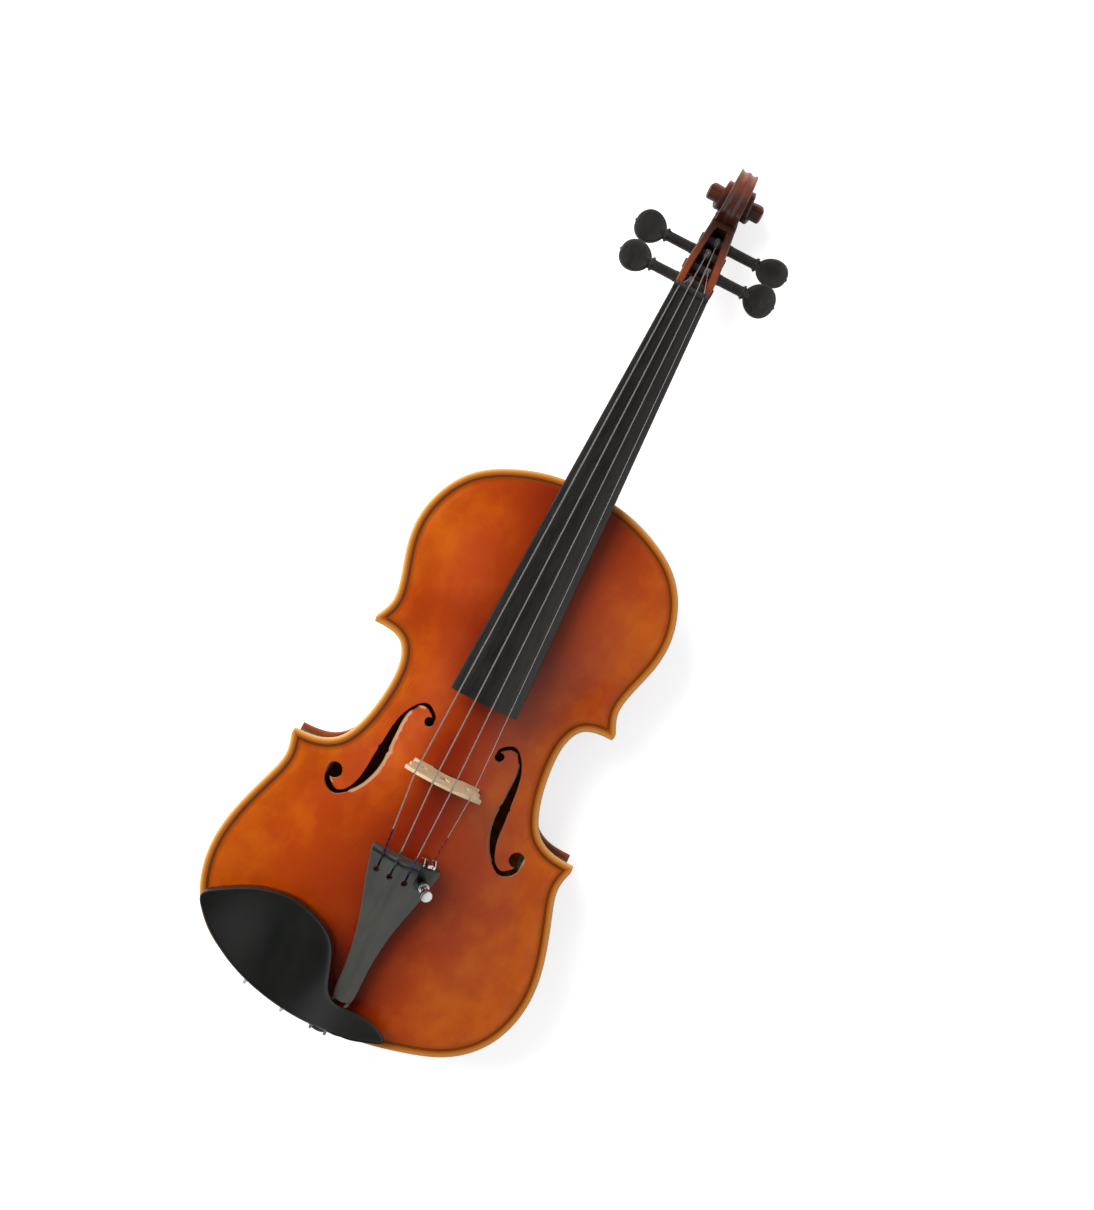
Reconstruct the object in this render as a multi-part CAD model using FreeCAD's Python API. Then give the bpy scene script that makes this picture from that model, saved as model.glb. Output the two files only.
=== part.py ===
import FreeCAD, Part
import math
import os

# A full-size violin lying on its back.  Millimetres.
# X runs to the treble side, Y runs from the tail to the scroll, Z comes out of the belly.
# Lengths along the body are written from the upper edge of the belly (y = 0) and every
# finished piece is moved by ORIGIN_Y, so that the row origin is under the middle of the
# whole length, level with the crown of the back.

V = FreeCAD.Vector
ORIGIN_Y = 71.0

# heights of the body, from the crown of the back
BACK_EDGE_LOW = 11.0
RIB_LOW = 15.0
RIB_HIGH = 46.0
TOP_EDGE = 50.0
BACK_ARCH = 11.0
TOP_ARCH = 11.0
PLATE = 3.0
OVERHANG = 2.7
RIB = 1.2
LINING = 2.0
LINING_DEEP = 7.0
BLOCK_LONG = 21.0
GLUE_GAP = 0.02
RUN_FIT = 0.06

# half outlines of the body: upper bout and waist by x and y; the lower bout by x and the
# distance down from its corner, stretched so that the last station is at the lower edge
UPPER = [(0, 0), (26, -3.0), (43.5, -8.5), (54, -13.5), (64.2, -20.3), (73.0, -29.9), (80.2, -44.0),
         (83.7, -62), (82.0, -78.5), (78.5, -91), (75.3, -103), (74.7, -111), (79, -122.6)]
WAIST = [(78.4, -127.0), (69, -127.4), (60.7, -130.4), (55.6, -138.5), (53.9, -152), (55.3, -168),
         (59.9, -186), (66.6, -196.8), (77, -202.2), (91.6, -203.4)]
LOWER = [(91.8, 0), (89.8, 9.2), (92.9, 24.2), (100.7, 48.2), (104.8, 72.2), (102.1, 94.4),
         (93.2, 112.6), (76.8, 127.2), (50, 137.2), (25, 142.4), (0, 143.7)]
LOWER_CORNER = -208.8
BODY_LENGTH = 352.5

PURFLING_IN = 4.0
PURFLING_WIDE = 1.2
PURFLING_DEEP = 1.8

# neck, board and head
NUT_Y = 130.0
NUT_LONG = 5.5
BOARD_LONG = 270.0
BOARD_NUT_WIDE = 23.0
BOARD_END_WIDE = 41.8
BOARD_SIDE = 4.5
BOARD_R = 42.0
GLUE_Z_NUT = 46.75
GLUE_SLOPE = 0.0931
BUTTON_R = 10.5
BUTTON_OUT = 13.0
TENON = 6.0
SCROLL_Y = 201.4
SCROLL_Z = 23.9
SCROLL_R = 24.3
SCROLL_SHRINK = 0.55

# bridge and strings
BRIDGE_Y = -190.0
BRIDGE_TOP = 93.5
BRIDGE_R = 42.0
BRIDGE_FOOT = 4.5
BRIDGE_CREST = 1.6
STRINGS = [
    {"name": "g", "nut": -8.25, "bridge": -17.0, "r": 0.42, "peg": "g", "hole": -13.2, "wind": -3.4},
    {"name": "d", "nut": -2.75, "bridge": -5.67, "r": 0.40, "peg": "d", "hole": -4.6, "wind": -1.4},
    {"name": "a", "nut": 2.75, "bridge": 5.67, "r": 0.36, "peg": "a", "hole": 4.6, "wind": 1.2},
    {"name": "e", "nut": 8.25, "bridge": 17.0, "r": 0.22, "peg": "e", "hole": 13.2, "wind": 3.4},
]

# pegs: side of the head, place along the pegbox, height, turn of the thumb-piece
PEGS = {
    "g": {"side": -1, "y": 140.2, "z": 37.2, "turn": 12},
    "e": {"side": 1, "y": 151.8, "z": 32.6, "turn": 24},
    "d": {"side": -1, "y": 163.0, "z": 28.6, "turn": 0},
    "a": {"side": 1, "y": 173.4, "z": 24.4, "turn": 58},
}
PEG_R_COLLAR = 3.75
PEG_TAPER = 1.0 / 60.0
PEG_COLLAR_X = 28.0
PEG_HEAD_X = 39.0
WIND_LONG = 4.0

# tailpiece, in its own directions: u across, v along (towards the bridge positive), w up
AFTER_LONG = 49.0
TAIL_TOP = V(1.0, BRIDGE_Y - AFTER_LONG, BRIDGE_TOP - 12.9)
TAIL_GAP = 19.5
TAIL_LONG = BODY_LENGTH + TAIL_TOP.y - TAIL_GAP
TAIL_DROP = 18.9
TAIL_TILT = math.degrees(math.asin(TAIL_DROP / TAIL_LONG))
TAIL_SKEW = 2.3
# share of the length, half width, height of the sides, height of the underside
TAIL_SHAPE = [
    (0.0, 21.2, -7.2, -10.6), (0.043, 20.9, -7.1, -10.5), (0.128, 18.9, -6.5, -10.0),
    (0.234, 16.0, -5.4, -9.2), (0.404, 10.9, -3.7, -8.2), (0.553, 8.3, -3.0, -7.7),
    (0.745, 7.0, -2.6, -7.2), (0.936, 6.5, -2.5, -7.0), (1.0, 5.8, -2.6, -6.9)]
TAIL_STATIONS = [(-share * TAIL_LONG, half, side, low) for share, half, side, low in TAIL_SHAPE]
HOLE_V = -12.5

# fine tuner, in its own directions: a across, b towards the bridge, c up from the slope
TUNER_V = -8.5
TUNER_LEAN = 18.8
TUNER_PIVOT_B = 12.0
TUNER_PIVOT_C = -4.5
SCREW_R = 1.25
TUNER_TIP = -6.9

SADDLE_WIDE = 34.0
SADDLE_LONG = 6.5
SADDLE_TOP = 55.6
GUT_R = 0.9
GUT_X = 4.6
BUTTON_Z = 30.5
PIN_R = 3.8

# chin rest clamp
BARRELS = [(-50.0, "barrel_outer"), (-24.0, "barrel_inner")]
BARREL_R = 1.9
BARREL_LONG = 16.0
BARREL_Z = 24.0
POST_R = 1.1
BARREL_OFF = 2.3
POST_BEND_Z = 50.6
POST_REACH = 10.0
POST_RISE = 6.8
KEY_R = 0.8


# ---------------------------------------------------------------- small helpers

def spline(points, closed=False):
    curve = Part.BSplineCurve()
    if closed:
        curve.interpolate(Points=points, PeriodicFlag=True)
    else:
        curve.interpolate(points)
    return curve


def lower_y(down):
    """The y of a place in the lower bout, given by its distance down from the corner."""
    return LOWER_CORNER - down * (BODY_LENGTH + LOWER_CORNER) / LOWER[-1][1]


def from_tail(up):
    """The y of a place given by its distance up from the lower edge."""
    return up - BODY_LENGTH


def lower_stations():
    return [(x, lower_y(down)) for x, down in LOWER]


def offset_points(stations, inset, count=26):
    """Points along one bout, moved inwards by the inset."""
    curve = spline([V(x, y, 0) for x, y in stations])
    first = curve.FirstParameter
    last = curve.LastParameter
    out = []
    for i in range(count):
        u = first + (last - first) * i / (count - 1)
        p = curve.value(u)
        t = curve.tangent(u)[0]
        out.append((p.x + t.y * inset, p.y - t.x * inset))
    return out


def crossing(a, b, c, d):
    den = (b[0] - a[0]) * (d[1] - c[1]) - (b[1] - a[1]) * (d[0] - c[0])
    if abs(den) < 1e-12:
        return None
    s = ((c[0] - a[0]) * (d[1] - c[1]) - (c[1] - a[1]) * (d[0] - c[0])) / den
    t = ((c[0] - a[0]) * (b[1] - a[1]) - (c[1] - a[1]) * (b[0] - a[0])) / den
    if 0 <= s <= 1 and 0 <= t <= 1:
        return (a[0] + s * (b[0] - a[0]), a[1] + s * (b[1] - a[1]))
    return None


def extended(points, reach):
    """The same line of points with its last run carried on by the reach."""
    a = points[-2]
    b = points[-1]
    run = math.hypot(b[0] - a[0], b[1] - a[1])
    return points + [(b[0] + (b[0] - a[0]) * reach / run, b[1] + (b[1] - a[1]) * reach / run)]


def trim(first, second):
    """Bring two lines of points to their corner, near the end of one and the start of the other."""
    one = extended(first, 8.0)
    two = extended(second[::-1], 8.0)[::-1]
    for i in range(len(one) - 2, len(one) // 2, -1):
        for j in range(0, len(two) // 2):
            hit = crossing(one[i], one[i + 1], two[j], two[j + 1])
            if hit:
                return one[:i + 1] + [hit], [hit] + two[j + 1:]
    return first, second


def half_outline(inset):
    upper = offset_points(UPPER, inset)
    waist = offset_points(WAIST, inset)
    lower = offset_points(lower_stations(), inset)
    if inset > 0:
        upper, waist = trim(upper, waist)
        waist, lower = trim(waist, lower)
    upper[0] = (0.0, upper[0][1])
    lower[-1] = (0.0, lower[-1][1])
    return upper, waist, lower


def drop_close(points):
    kept = [points[0]]
    for p in points[1:-1]:
        if math.hypot(p[0] - kept[-1][0], p[1] - kept[-1][1]) > 0.6:
            kept.append(p)
    if math.hypot(points[-1][0] - kept[-1][0], points[-1][1] - kept[-1][1]) < 0.6:
        kept.pop()
    kept.append(points[-1])
    return kept


def outline_face(inset, z):
    """The body outline moved inwards by the inset, as one flat face."""
    parts = [drop_close(p) for p in half_outline(inset)]
    edges = []
    for side in (1, -1):
        last = None
        for part in parts:
            pts = [V(side * x, y, z) for x, y in part]
            if last is not None and last.distanceToPoint(pts[0]) > 1e-6:
                edges.append(Part.LineSegment(last, pts[0]).toShape())
            edges.append(spline(pts).toShape())
            last = pts[-1]
    wire = Part.Wire(Part.__sortEdges__(edges))
    return Part.Face(wire)


def prism(inset, z0, z1):
    return outline_face(inset, z0).extrude(V(0, 0, z1 - z0))


def box(x0, x1, y0, y1, z0, z1):
    return Part.makeBox(x1 - x0, y1 - y0, z1 - z0, V(x0, y0, z0))


def rod(a, b, r):
    d = b.sub(a)
    return Part.makeCylinder(r, d.Length, a, d)


def interpolate(stations, x):
    """Smooth value between stations."""
    if x >= stations[0][0]:
        return stations[0][1]
    if x <= stations[-1][0]:
        return stations[-1][1]
    for i in range(len(stations) - 1):
        a = stations[i]
        b = stations[i + 1]
        if b[0] <= x <= a[0]:
            t = (a[0] - x) / (a[0] - b[0])
            before = stations[max(i - 1, 0)]
            after = stations[min(i + 2, len(stations) - 1)]
            ma = (b[1] - before[1]) / (before[0] - b[0]) * (a[0] - b[0])
            mb = (after[1] - a[1]) / (a[0] - after[0]) * (a[0] - b[0])
            h00 = 2 * t ** 3 - 3 * t ** 2 + 1
            h10 = t ** 3 - 2 * t ** 2 + t
            h01 = -2 * t ** 3 + 3 * t ** 2
            h11 = t ** 3 - t ** 2
            return h00 * a[1] + h10 * ma + h01 * b[1] + h11 * mb
    return stations[-1][1]


ARCH_HALF = [(0, 44), (-15, 54), (-30, 64), (-62, 76), (-90, 70), (-115, 55), (-151, 46.5), (-187, 54)]
ARCH_HALF_LOW = [(6.2, 72), (41.2, 91), (72.2, 97), (101.2, 90), (126.2, 72), (147.2, 56)]
ARCH_FLAT = 7.0
ARCH_STATIONS = ARCH_HALF + [(lower_y(down), half) for down, half in ARCH_HALF_LOW]


def arch(x, y):
    """Height of the arching over the edge, from 0 at the channel to 1 at the crown."""
    u = abs(y + BODY_LENGTH / 2) / (BODY_LENGTH / 2 - ARCH_FLAT)
    if u >= 1.0:
        return 0.0
    long_arch = 0.5 + 0.5 * math.cos(math.pi * u ** 2.6)
    t = abs(x) / interpolate(ARCH_STATIONS, y)
    if t >= 1.0:
        return 0.0
    return long_arch * (0.5 + 0.5 * math.cos(math.pi * t ** 1.25))


def field(height, x0, x1, y0, y1, nx, ny):
    """A smooth sheet z = height(x, y)."""
    rows = []
    for i in range(nx):
        x = x0 + (x1 - x0) * i / (nx - 1)
        row = []
        for j in range(ny):
            y = y0 + (y1 - y0) * j / (ny - 1)
            row.append(V(x, y, height(x, y)))
        rows.append(row)
    sheet = Part.BSplineSurface()
    sheet.interpolate(rows)
    return sheet.toShape()


def arch_field(base, rise):
    return field(lambda x, y: base + rise * arch(x, y), -112, 112, from_tail(-6), 18, 45, 61)


def under(face, depth=90.0):
    return face.extrude(V(0, 0, -depth))


def over(face, height=90.0):
    return face.extrude(V(0, 0, height))


def cord(points, r, bend):
    """A round cord along straight runs joined by tangent arcs, with flat ends."""
    pieces = []
    start = points[0]
    for i in range(1, len(points) - 1):
        corner = points[i]
        a = corner.sub(start).normalize()
        b = points[i + 1].sub(corner).normalize()
        angle = a.getAngle(b)
        if angle < 0.004:
            continue
        back = bend * math.tan(angle / 2)
        p = corner.sub(V(a).multiply(back))
        q = corner.add(V(b).multiply(back))
        pieces.append(Part.LineSegment(start, p).toShape())
        axis = a.cross(b).normalize()
        centre = p.add(axis.cross(a).normalize().multiply(bend))
        mid_dir = corner.sub(centre).normalize()
        middle = centre.add(mid_dir.multiply(bend))
        pieces.append(Part.Arc(p, middle, q).toShape())
        start = q
    pieces.append(Part.LineSegment(start, points[-1]).toShape())
    path = Part.Wire(pieces)
    direction = points[1].sub(points[0])
    ring = Part.Wire(Part.makeCircle(r, points[0], direction))
    pipe = Part.BRepOffsetAPI.MakePipeShell(path)
    pipe.setFrenetMode(False)
    pipe.add(ring)
    pipe.build()
    pipe.makeSolid()
    return pipe.shape()


def solid_of(shape):
    """The single biggest solid of a boolean result."""
    return sorted(shape.Solids, key=lambda s: s.Volume)[-1]


def join(shapes):
    out = shapes[0]
    for s in shapes[1:]:
        out = out.fuse(s)
    return out


# ---------------------------------------------------------------- body

def f_hole(side):
    """One sound hole as a cutter: two eyes joined by a curved stem."""
    stem = [(21.2, -162.4, 1.2), (24.0, -158.9, 1.3), (28.3, -156.9, 0.9), (32.4, -158.8, 1.4), (35.6, -163.2, 2.2),
            (37.8, -170.0, 2.8), (38.7, -178.0, 3.1), (39.1, -190.0, 3.5), (39.9, -202.8, 3.9), (41.8, -211.5, 3.7),
            (45.8, -219.4, 3.0), (50.0, -223.7, 2.0), (54.0, -225.6, 1.1), (58.3, -224.2, 1.7), (61.6, -220.0, 2.1)]
    middle = spline([V(side * x, y, 0) for x, y, w in stem])
    left = []
    right = []
    for x, y, w in stem:
        u = middle.parameter(V(side * x, y, 0))
        t = middle.tangent(u)[0]
        left.append(V(side * x - t.y * w, y + t.x * w, 0))
        right.append(V(side * x + t.y * w, y - t.x * w, 0))
    right.reverse()
    edges = [spline(left).toShape(), Part.LineSegment(left[-1], right[0]).toShape(),
             spline(right).toShape(), Part.LineSegment(right[-1], left[0]).toShape()]
    stem_solid = Part.Face(Part.Wire(edges)).extrude(V(0, 0, 40))
    stem_solid.translate(V(0, 0, 40))
    eyes = [Part.makeCylinder(r, 40, V(side * x, y, 40)) for x, y, r in F_EYES]
    return stem_solid.fuse(eyes)


F_EYES = [(23.0, -164.8, 2.9), (59.8, -215.0, 4.8)]


def top_plate(outer, inner, root, saddle_cut):
    blank = prism(0, RIB_HIGH, RIB_HIGH + 25).common(under(outer))
    hollow = prism(9.0, RIB_HIGH - 1, RIB_HIGH + 25).common(under(inner))
    plate = blank.cut(hollow)
    groove = purfling_ring(TOP_EDGE - PURFLING_DEEP, TOP_EDGE + 2, 0.0)
    plate = plate.cut(groove)
    plate = plate.cut(f_hole(1)).cut(f_hole(-1))
    return solid_of(plate.cut(root).cut(saddle_cut))


def back_plate(outer, inner):
    blank = prism(0, -12, RIB_LOW).common(over(outer))
    hollow = prism(9.0, -12, RIB_LOW + 1).common(over(inner))
    plate = blank.cut(hollow)
    button = Part.makeCylinder(BUTTON_R, RIB_LOW - BACK_EDGE_LOW,
                               V(0, BUTTON_OUT - BUTTON_R, BACK_EDGE_LOW))
    button = button.fuse(box(-BUTTON_R, BUTTON_R, -4, BUTTON_OUT - BUTTON_R, BACK_EDGE_LOW, RIB_LOW))
    plate = plate.fuse(button)
    groove = purfling_ring(BACK_EDGE_LOW - 2, BACK_EDGE_LOW + PURFLING_DEEP, 0.0)
    return solid_of(plate.cut(groove))


def purfling_ring(z0, z1, gap):
    ring = prism(PURFLING_IN + gap, z0, z1)
    return ring.cut(prism(PURFLING_IN + PURFLING_WIDE - gap, z0 - 1, z1 + 1))


def ribs(root):
    ring = prism(OVERHANG, RIB_LOW, RIB_HIGH).cut(prism(OVERHANG + RIB, RIB_LOW - 1, RIB_HIGH + 1))
    ring = ring.cut(root)
    zones = [("upper", -124.8, 20), ("waist", -206.2, -124.8), ("lower", from_tail(-24), -206.2)]
    out = {}
    for name, y0, y1 in zones:
        for side, tag in ((1, "treble"), (-1, "bass")):
            x0 = 0 if side > 0 else -130
            x1 = 130 if side > 0 else 0
            piece = ring.common(box(x0, x1, y0, y1, 0, 80))
            out["rib_" + name + "_" + tag] = solid_of(piece)
    return out


def linings(z0, z1, blocks):
    ring = prism(OVERHANG + RIB, z0, z1).cut(prism(OVERHANG + RIB + LINING, z0 - 1, z1 + 1))
    return ring.cut(blocks)


def top_block_zone():
    return box(-27, 27, -21, 5, 0, 80)


def bottom_block_zone():
    return box(-25, 25, from_tail(-4), from_tail(BLOCK_LONG), 0, 80)


def block_set(root, pin):
    """Two end blocks and four corner blocks, all inside the ribs."""
    inside = prism(OVERHANG + RIB, RIB_LOW, RIB_HIGH)
    top = inside.common(top_block_zone()).cut(root)
    bottom = inside.common(bottom_block_zone()).cut(pin)
    corners = []
    for side in (1, -1):
        for x0, x1, y0, y1 in ((58, 90, -139, -112), (64, 100, -222, -192)):
            zone = box(x0, x1, y0, y1, 0, 80) if side > 0 else box(-x1, -x0, y0, y1, 0, 80)
            corners.append(solid_of(inside.common(zone)))
    return solid_of(top), solid_of(bottom), Part.makeCompound(corners)


def bass_bar(inner_low):
    y0 = from_tail(44.0)
    y1 = -44.0
    blank = box(-19.5, -14.0, y0, y1, 40, 75).common(under(inner_low))
    belly = field(lambda x, y: 47.0 + TOP_ARCH * arch(x, y) - 3.0
                  - 8.5 * max(0.0, math.sin(math.pi * (y - y0) / (y1 - y0))) ** 0.8 - 0.02,
                  -24, -9, y0 - 0.001, y1 + 0.001, 5, 41)
    return solid_of(blank.cut(under(belly, 60)))


def sound_post(inner_low, back_inner_high):
    post = Part.makeCylinder(3.0, 80, V(18.5, -196.5, -5))
    return solid_of(post.common(under(inner_low)).common(over(back_inner_high)))


def saddle():
    y0 = -BODY_LENGTH + 0.2
    block = box(-SADDLE_WIDE / 2, SADDLE_WIDE / 2, y0, y0 + SADDLE_LONG, RIB_HIGH, TOP_EDGE)
    ridge = box(-SADDLE_WIDE / 2 + 4, SADDLE_WIDE / 2 - 4, y0, y0 + SADDLE_LONG, TOP_EDGE - 1, SADDLE_TOP)
    edges = []
    for e in ridge.Edges:
        c = e.CenterOfMass
        if abs(c.z - SADDLE_TOP) < 0.01 and abs(c.x) < 1:
            edges.append(e)
    ridge = ridge.makeFillet(1.9, edges)
    return block.fuse(ridge).removeSplitter()


def saddle_pocket():
    y0 = -BODY_LENGTH - 2
    half = SADDLE_WIDE / 2 + GLUE_GAP
    return box(-half, half, y0, -BODY_LENGTH + 0.2 + SADDLE_LONG + GLUE_GAP, RIB_HIGH, TOP_EDGE + 3)


# ---------------------------------------------------------------- neck and head

def glue_z(y):
    return GLUE_Z_NUT + GLUE_SLOPE * (NUT_Y - y)


def board_half(y):
    return 0.5 * (BOARD_NUT_WIDE + (BOARD_END_WIDE - BOARD_NUT_WIDE) * (NUT_Y - y) / BOARD_LONG)


def neck_section(y, half, top, depth, half_low, square):
    """A D-shaped cross-section: flat under the board, rounded below."""
    pts = []
    for i in range(13):
        a = math.pi * i / 12
        c = math.cos(a)
        s = math.sin(a)
        px = math.copysign(abs(c) ** square, c)
        pz = s ** square
        w = half + (half_low - half) * pz
        pts.append(V(px * w, y, top - 1.0 - (depth - 1.0) * pz))
    sides = [Part.LineSegment(V(-half, y, top), V(half, y, top)).toShape(),
             Part.LineSegment(V(half, y, top), pts[0]).toShape(),
             spline(pts).toShape(),
             Part.LineSegment(pts[-1], V(-half, y, top)).toShape()]
    return Part.Wire(sides)


def neck_root(gap):
    """Root of the neck, from the button to the glue line of the board."""
    low = RIB_LOW - (0.0 if gap == 0 else gap)
    wires = []
    for y in (-TENON - gap, 0.0, 6.0):
        z = glue_z(y)
        corners = [V(-16.4 - gap, y, z), V(16.4 + gap, y, z), V(10.3 + gap, y, low), V(-10.3 - gap, y, low)]
        wires.append(Part.makePolygon(corners + [corners[0]]))
    return Part.makeLoft(wires, True, True)


def neck_bar():
    wires = []
    for y, half, depth, low, square in (
            (2.0, 16.3, 44.0, 10.2, 0.42), (5.0, 16.1, 40.5, 10.2, 0.48), (9.0, 15.9, 32.0, 11.0, 0.62),
            (14.0, 15.6, 22.5, 12.5, 0.80), (20.0, 15.3, 16.5, 14.0, 0.92), (28.0, 14.9, 13.8, 14.6, 0.98),
            (60.0, 14.2, 13.3, 14.0, 1.0), (100.0, 12.9, 12.9, 12.8, 1.0), (122.0, 12.2, 13.2, 12.1, 1.0)):
        wires.append(neck_section(y, min(half, board_half(y) - 0.05), glue_z(y), depth, low, square))
    bar = Part.makeLoft(wires, True, False)
    return bar


BOX_FRONT = [(202, 14), (190, 23.5), (184, 28.0), (176, 31.2), (160, 37.6), (146, 42.8), (130, 46.75), (120, 47.7)]
BOX_BACK = [(206, 0.5), (197, 0.9), (186, 4.4), (170, 12.4), (152, 21.2), (140, 27.4), (134, 31.2), (128, 33.8), (120, 34.6)]
BOX_HALF = [(206, 6.6), (196, 7.0), (188, 8.0), (182, 8.3), (170, 9.4), (152, 11.0), (140, 11.4), (130, 11.5), (120, 11.5)]
BOX_FLOOR = 4.5
BOX_WALL = 4.9


def pegbox():
    wires = []
    for y in (120.5, 128, 134, 142, 152, 162, 172, 181, 188, 195, 202):
        top = interpolate(BOX_FRONT, y)
        low = interpolate(BOX_BACK, y)
        half = interpolate(BOX_HALF, y)
        low_half = half - 1.0
        corners = [V(-half, y, top), V(half, y, top), V(half, y, low + 2.5), V(low_half, y, low),
                   V(-low_half, y, low), V(-half, y, low + 2.5)]
        wires.append(Part.makePolygon(corners + [corners[0]]))
    outer = Part.makeLoft(wires, True, False)
    wires = []
    for y in (NUT_Y + NUT_LONG, 142, 152, 162, 172, 177, 181.5):
        top = 60.0
        low = interpolate(BOX_BACK, y) + BOX_FLOOR
        half = interpolate(BOX_HALF, y) - BOX_WALL
        half = max(half, 3.2)
        corners = [V(-half, y, top), V(half, y, top), V(half, y, low), V(-half, y, low)]
        wires.append(Part.makePolygon(corners + [corners[0]]))
    hollow = Part.makeLoft(wires, True, False)
    return outer, hollow


def scroll_radius(turn):
    """Outer radius of the scroll after the given angle in degrees."""
    return SCROLL_R * SCROLL_SHRINK ** ((turn + 90.0) / 360.0)


def scroll_half(turn):
    """Half width of the scroll at the given angle in degrees."""
    if turn < 0:
        return 5.6 + 2.0 * (turn / 90.0) ** 2
    return min(5.6 + 3.3 * (turn / 360.0) ** 1.2, 18.2)


def volute_piece(start, sweep, steps):
    """A quarter turn of the volute, wide band from the next turn's edge to its own edge."""
    wires = []
    for i in range(steps + 1):
        turn = start + sweep * i / steps
        a = math.radians(turn)
        outer = scroll_radius(turn)
        inner = max(scroll_radius(turn + 360.0) - 1.5, 1.0)
        half = scroll_half(turn)
        d = V(0, math.cos(a), math.sin(a))
        c = V(0, SCROLL_Y, SCROLL_Z)
        p = c.add(V(d).multiply(outer))
        q = c.add(V(d).multiply(inner))
        corners = [V(-half, p.y, p.z), V(half, p.y, p.z), V(half, q.y, q.z), V(-half, q.y, q.z)]
        wires.append(Part.makePolygon(corners + [corners[0]]))
    return Part.makeLoft(wires, True, False)


def neck_scroll():
    outer, hollow = pegbox()
    solid = neck_root(0).fuse(neck_bar())
    solid = solid.fuse(outer)
    turn = -95.0
    while turn < 600.0:
        solid = solid.fuse(volute_piece(turn, 92.0, 6))
        turn += 90.0
    eye = Part.makeCylinder(4.7, 36.8, V(-18.4, SCROLL_Y, SCROLL_Z), V(1, 0, 0))
    core = Part.makeCylinder(6.3, 29.6, V(-14.8, SCROLL_Y, SCROLL_Z), V(1, 0, 0))
    solid = solid.fuse([core, eye])
    solid = solid.cut(hollow)
    under_board = [V(-20, 100.0, glue_z(100.0)), V(-20, NUT_Y, glue_z(NUT_Y)), V(-20, NUT_Y, 70), V(-20, 100.0, 70)]
    solid = solid.cut(Part.Face(Part.makePolygon(under_board + [under_board[0]])).extrude(V(40, 0, 0)))
    for name in PEGS:
        solid = solid.cut(peg_cone(name, RUN_FIT))
    button_top = box(-40, 40, -20, 16, -5, RIB_LOW)
    return solid_of(solid.cut(button_top))


def fingerboard():
    def section(y):
        half = board_half(y)
        z = glue_z(y)
        drop = BOARD_R - math.sqrt(BOARD_R ** 2 - half ** 2)
        a = V(-half, y, z)
        b = V(half, y, z)
        c = V(half, y, z + BOARD_SIDE)
        m = V(0, y, z + BOARD_SIDE + drop)
        d = V(-half, y, z + BOARD_SIDE)
        return Part.Wire([Part.LineSegment(a, b).toShape(), Part.LineSegment(b, c).toShape(),
                          Part.Arc(c, m, d).toShape(), Part.LineSegment(d, a).toShape()])

    def scoop(y, deep):
        half = board_half(y) - 3.5
        z = glue_z(y)
        a = V(-half, y, z - 1)
        b = V(half, y, z - 1)
        m = V(0, y, z + deep)
        return Part.Wire([Part.Arc(a, m, b).toShape(), Part.LineSegment(b, a).toShape()])

    end = NUT_Y - BOARD_LONG
    board = Part.makeLoft([section(NUT_Y), section(end)], True, True)
    hollow = Part.makeLoft([scoop(-12.0, 1.5), scoop(-40.0, 4.0), scoop(end - 2, 4.6)], True, True)
    return solid_of(board.cut(hollow))


def board_top(x, y):
    half = board_half(y)
    drop = BOARD_R - math.sqrt(BOARD_R ** 2 - half ** 2)
    return glue_z(y) + BOARD_SIDE + drop - (BOARD_R - math.sqrt(BOARD_R ** 2 - x * x))


def nut(cutters):
    half = BOARD_NUT_WIDE / 2
    z = GLUE_Z_NUT
    rise = 0.75
    profile = [V(0, NUT_Y, z), V(0, NUT_Y, board_top(0, NUT_Y) + rise),
               V(0, NUT_Y + 1.6, board_top(0, NUT_Y) + rise),
               V(0, NUT_Y + NUT_LONG, board_top(0, NUT_Y) - 2.6),
               V(0, NUT_Y + NUT_LONG, z - GLUE_SLOPE * NUT_LONG)]
    side = Part.Face(Part.makePolygon(profile + [profile[0]]))
    body = side.extrude(V(half, 0, 0)).fuse(side.extrude(V(-half, 0, 0)))
    crown_z = board_top(0, NUT_Y) + rise - BOARD_R
    crown = Part.makeCylinder(BOARD_R, 20, V(0, NUT_Y - 5, crown_z), V(0, 1, 0))
    body = body.common(crown).removeSplitter()
    return solid_of(body.cut(cutters))


# ---------------------------------------------------------------- pegs

def peg_radius(x_from_head):
    return PEG_R_COLLAR - x_from_head * PEG_TAPER


def peg_cone(name, gap):
    p = PEGS[name]
    s = p["side"]
    reach = PEG_COLLAR_X + 13.2
    start = V(s * PEG_COLLAR_X, p["y"], p["z"])
    return Part.makeCone(peg_radius(0) + gap, peg_radius(reach) + gap, reach, start, V(-s, 0, 0))


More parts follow.
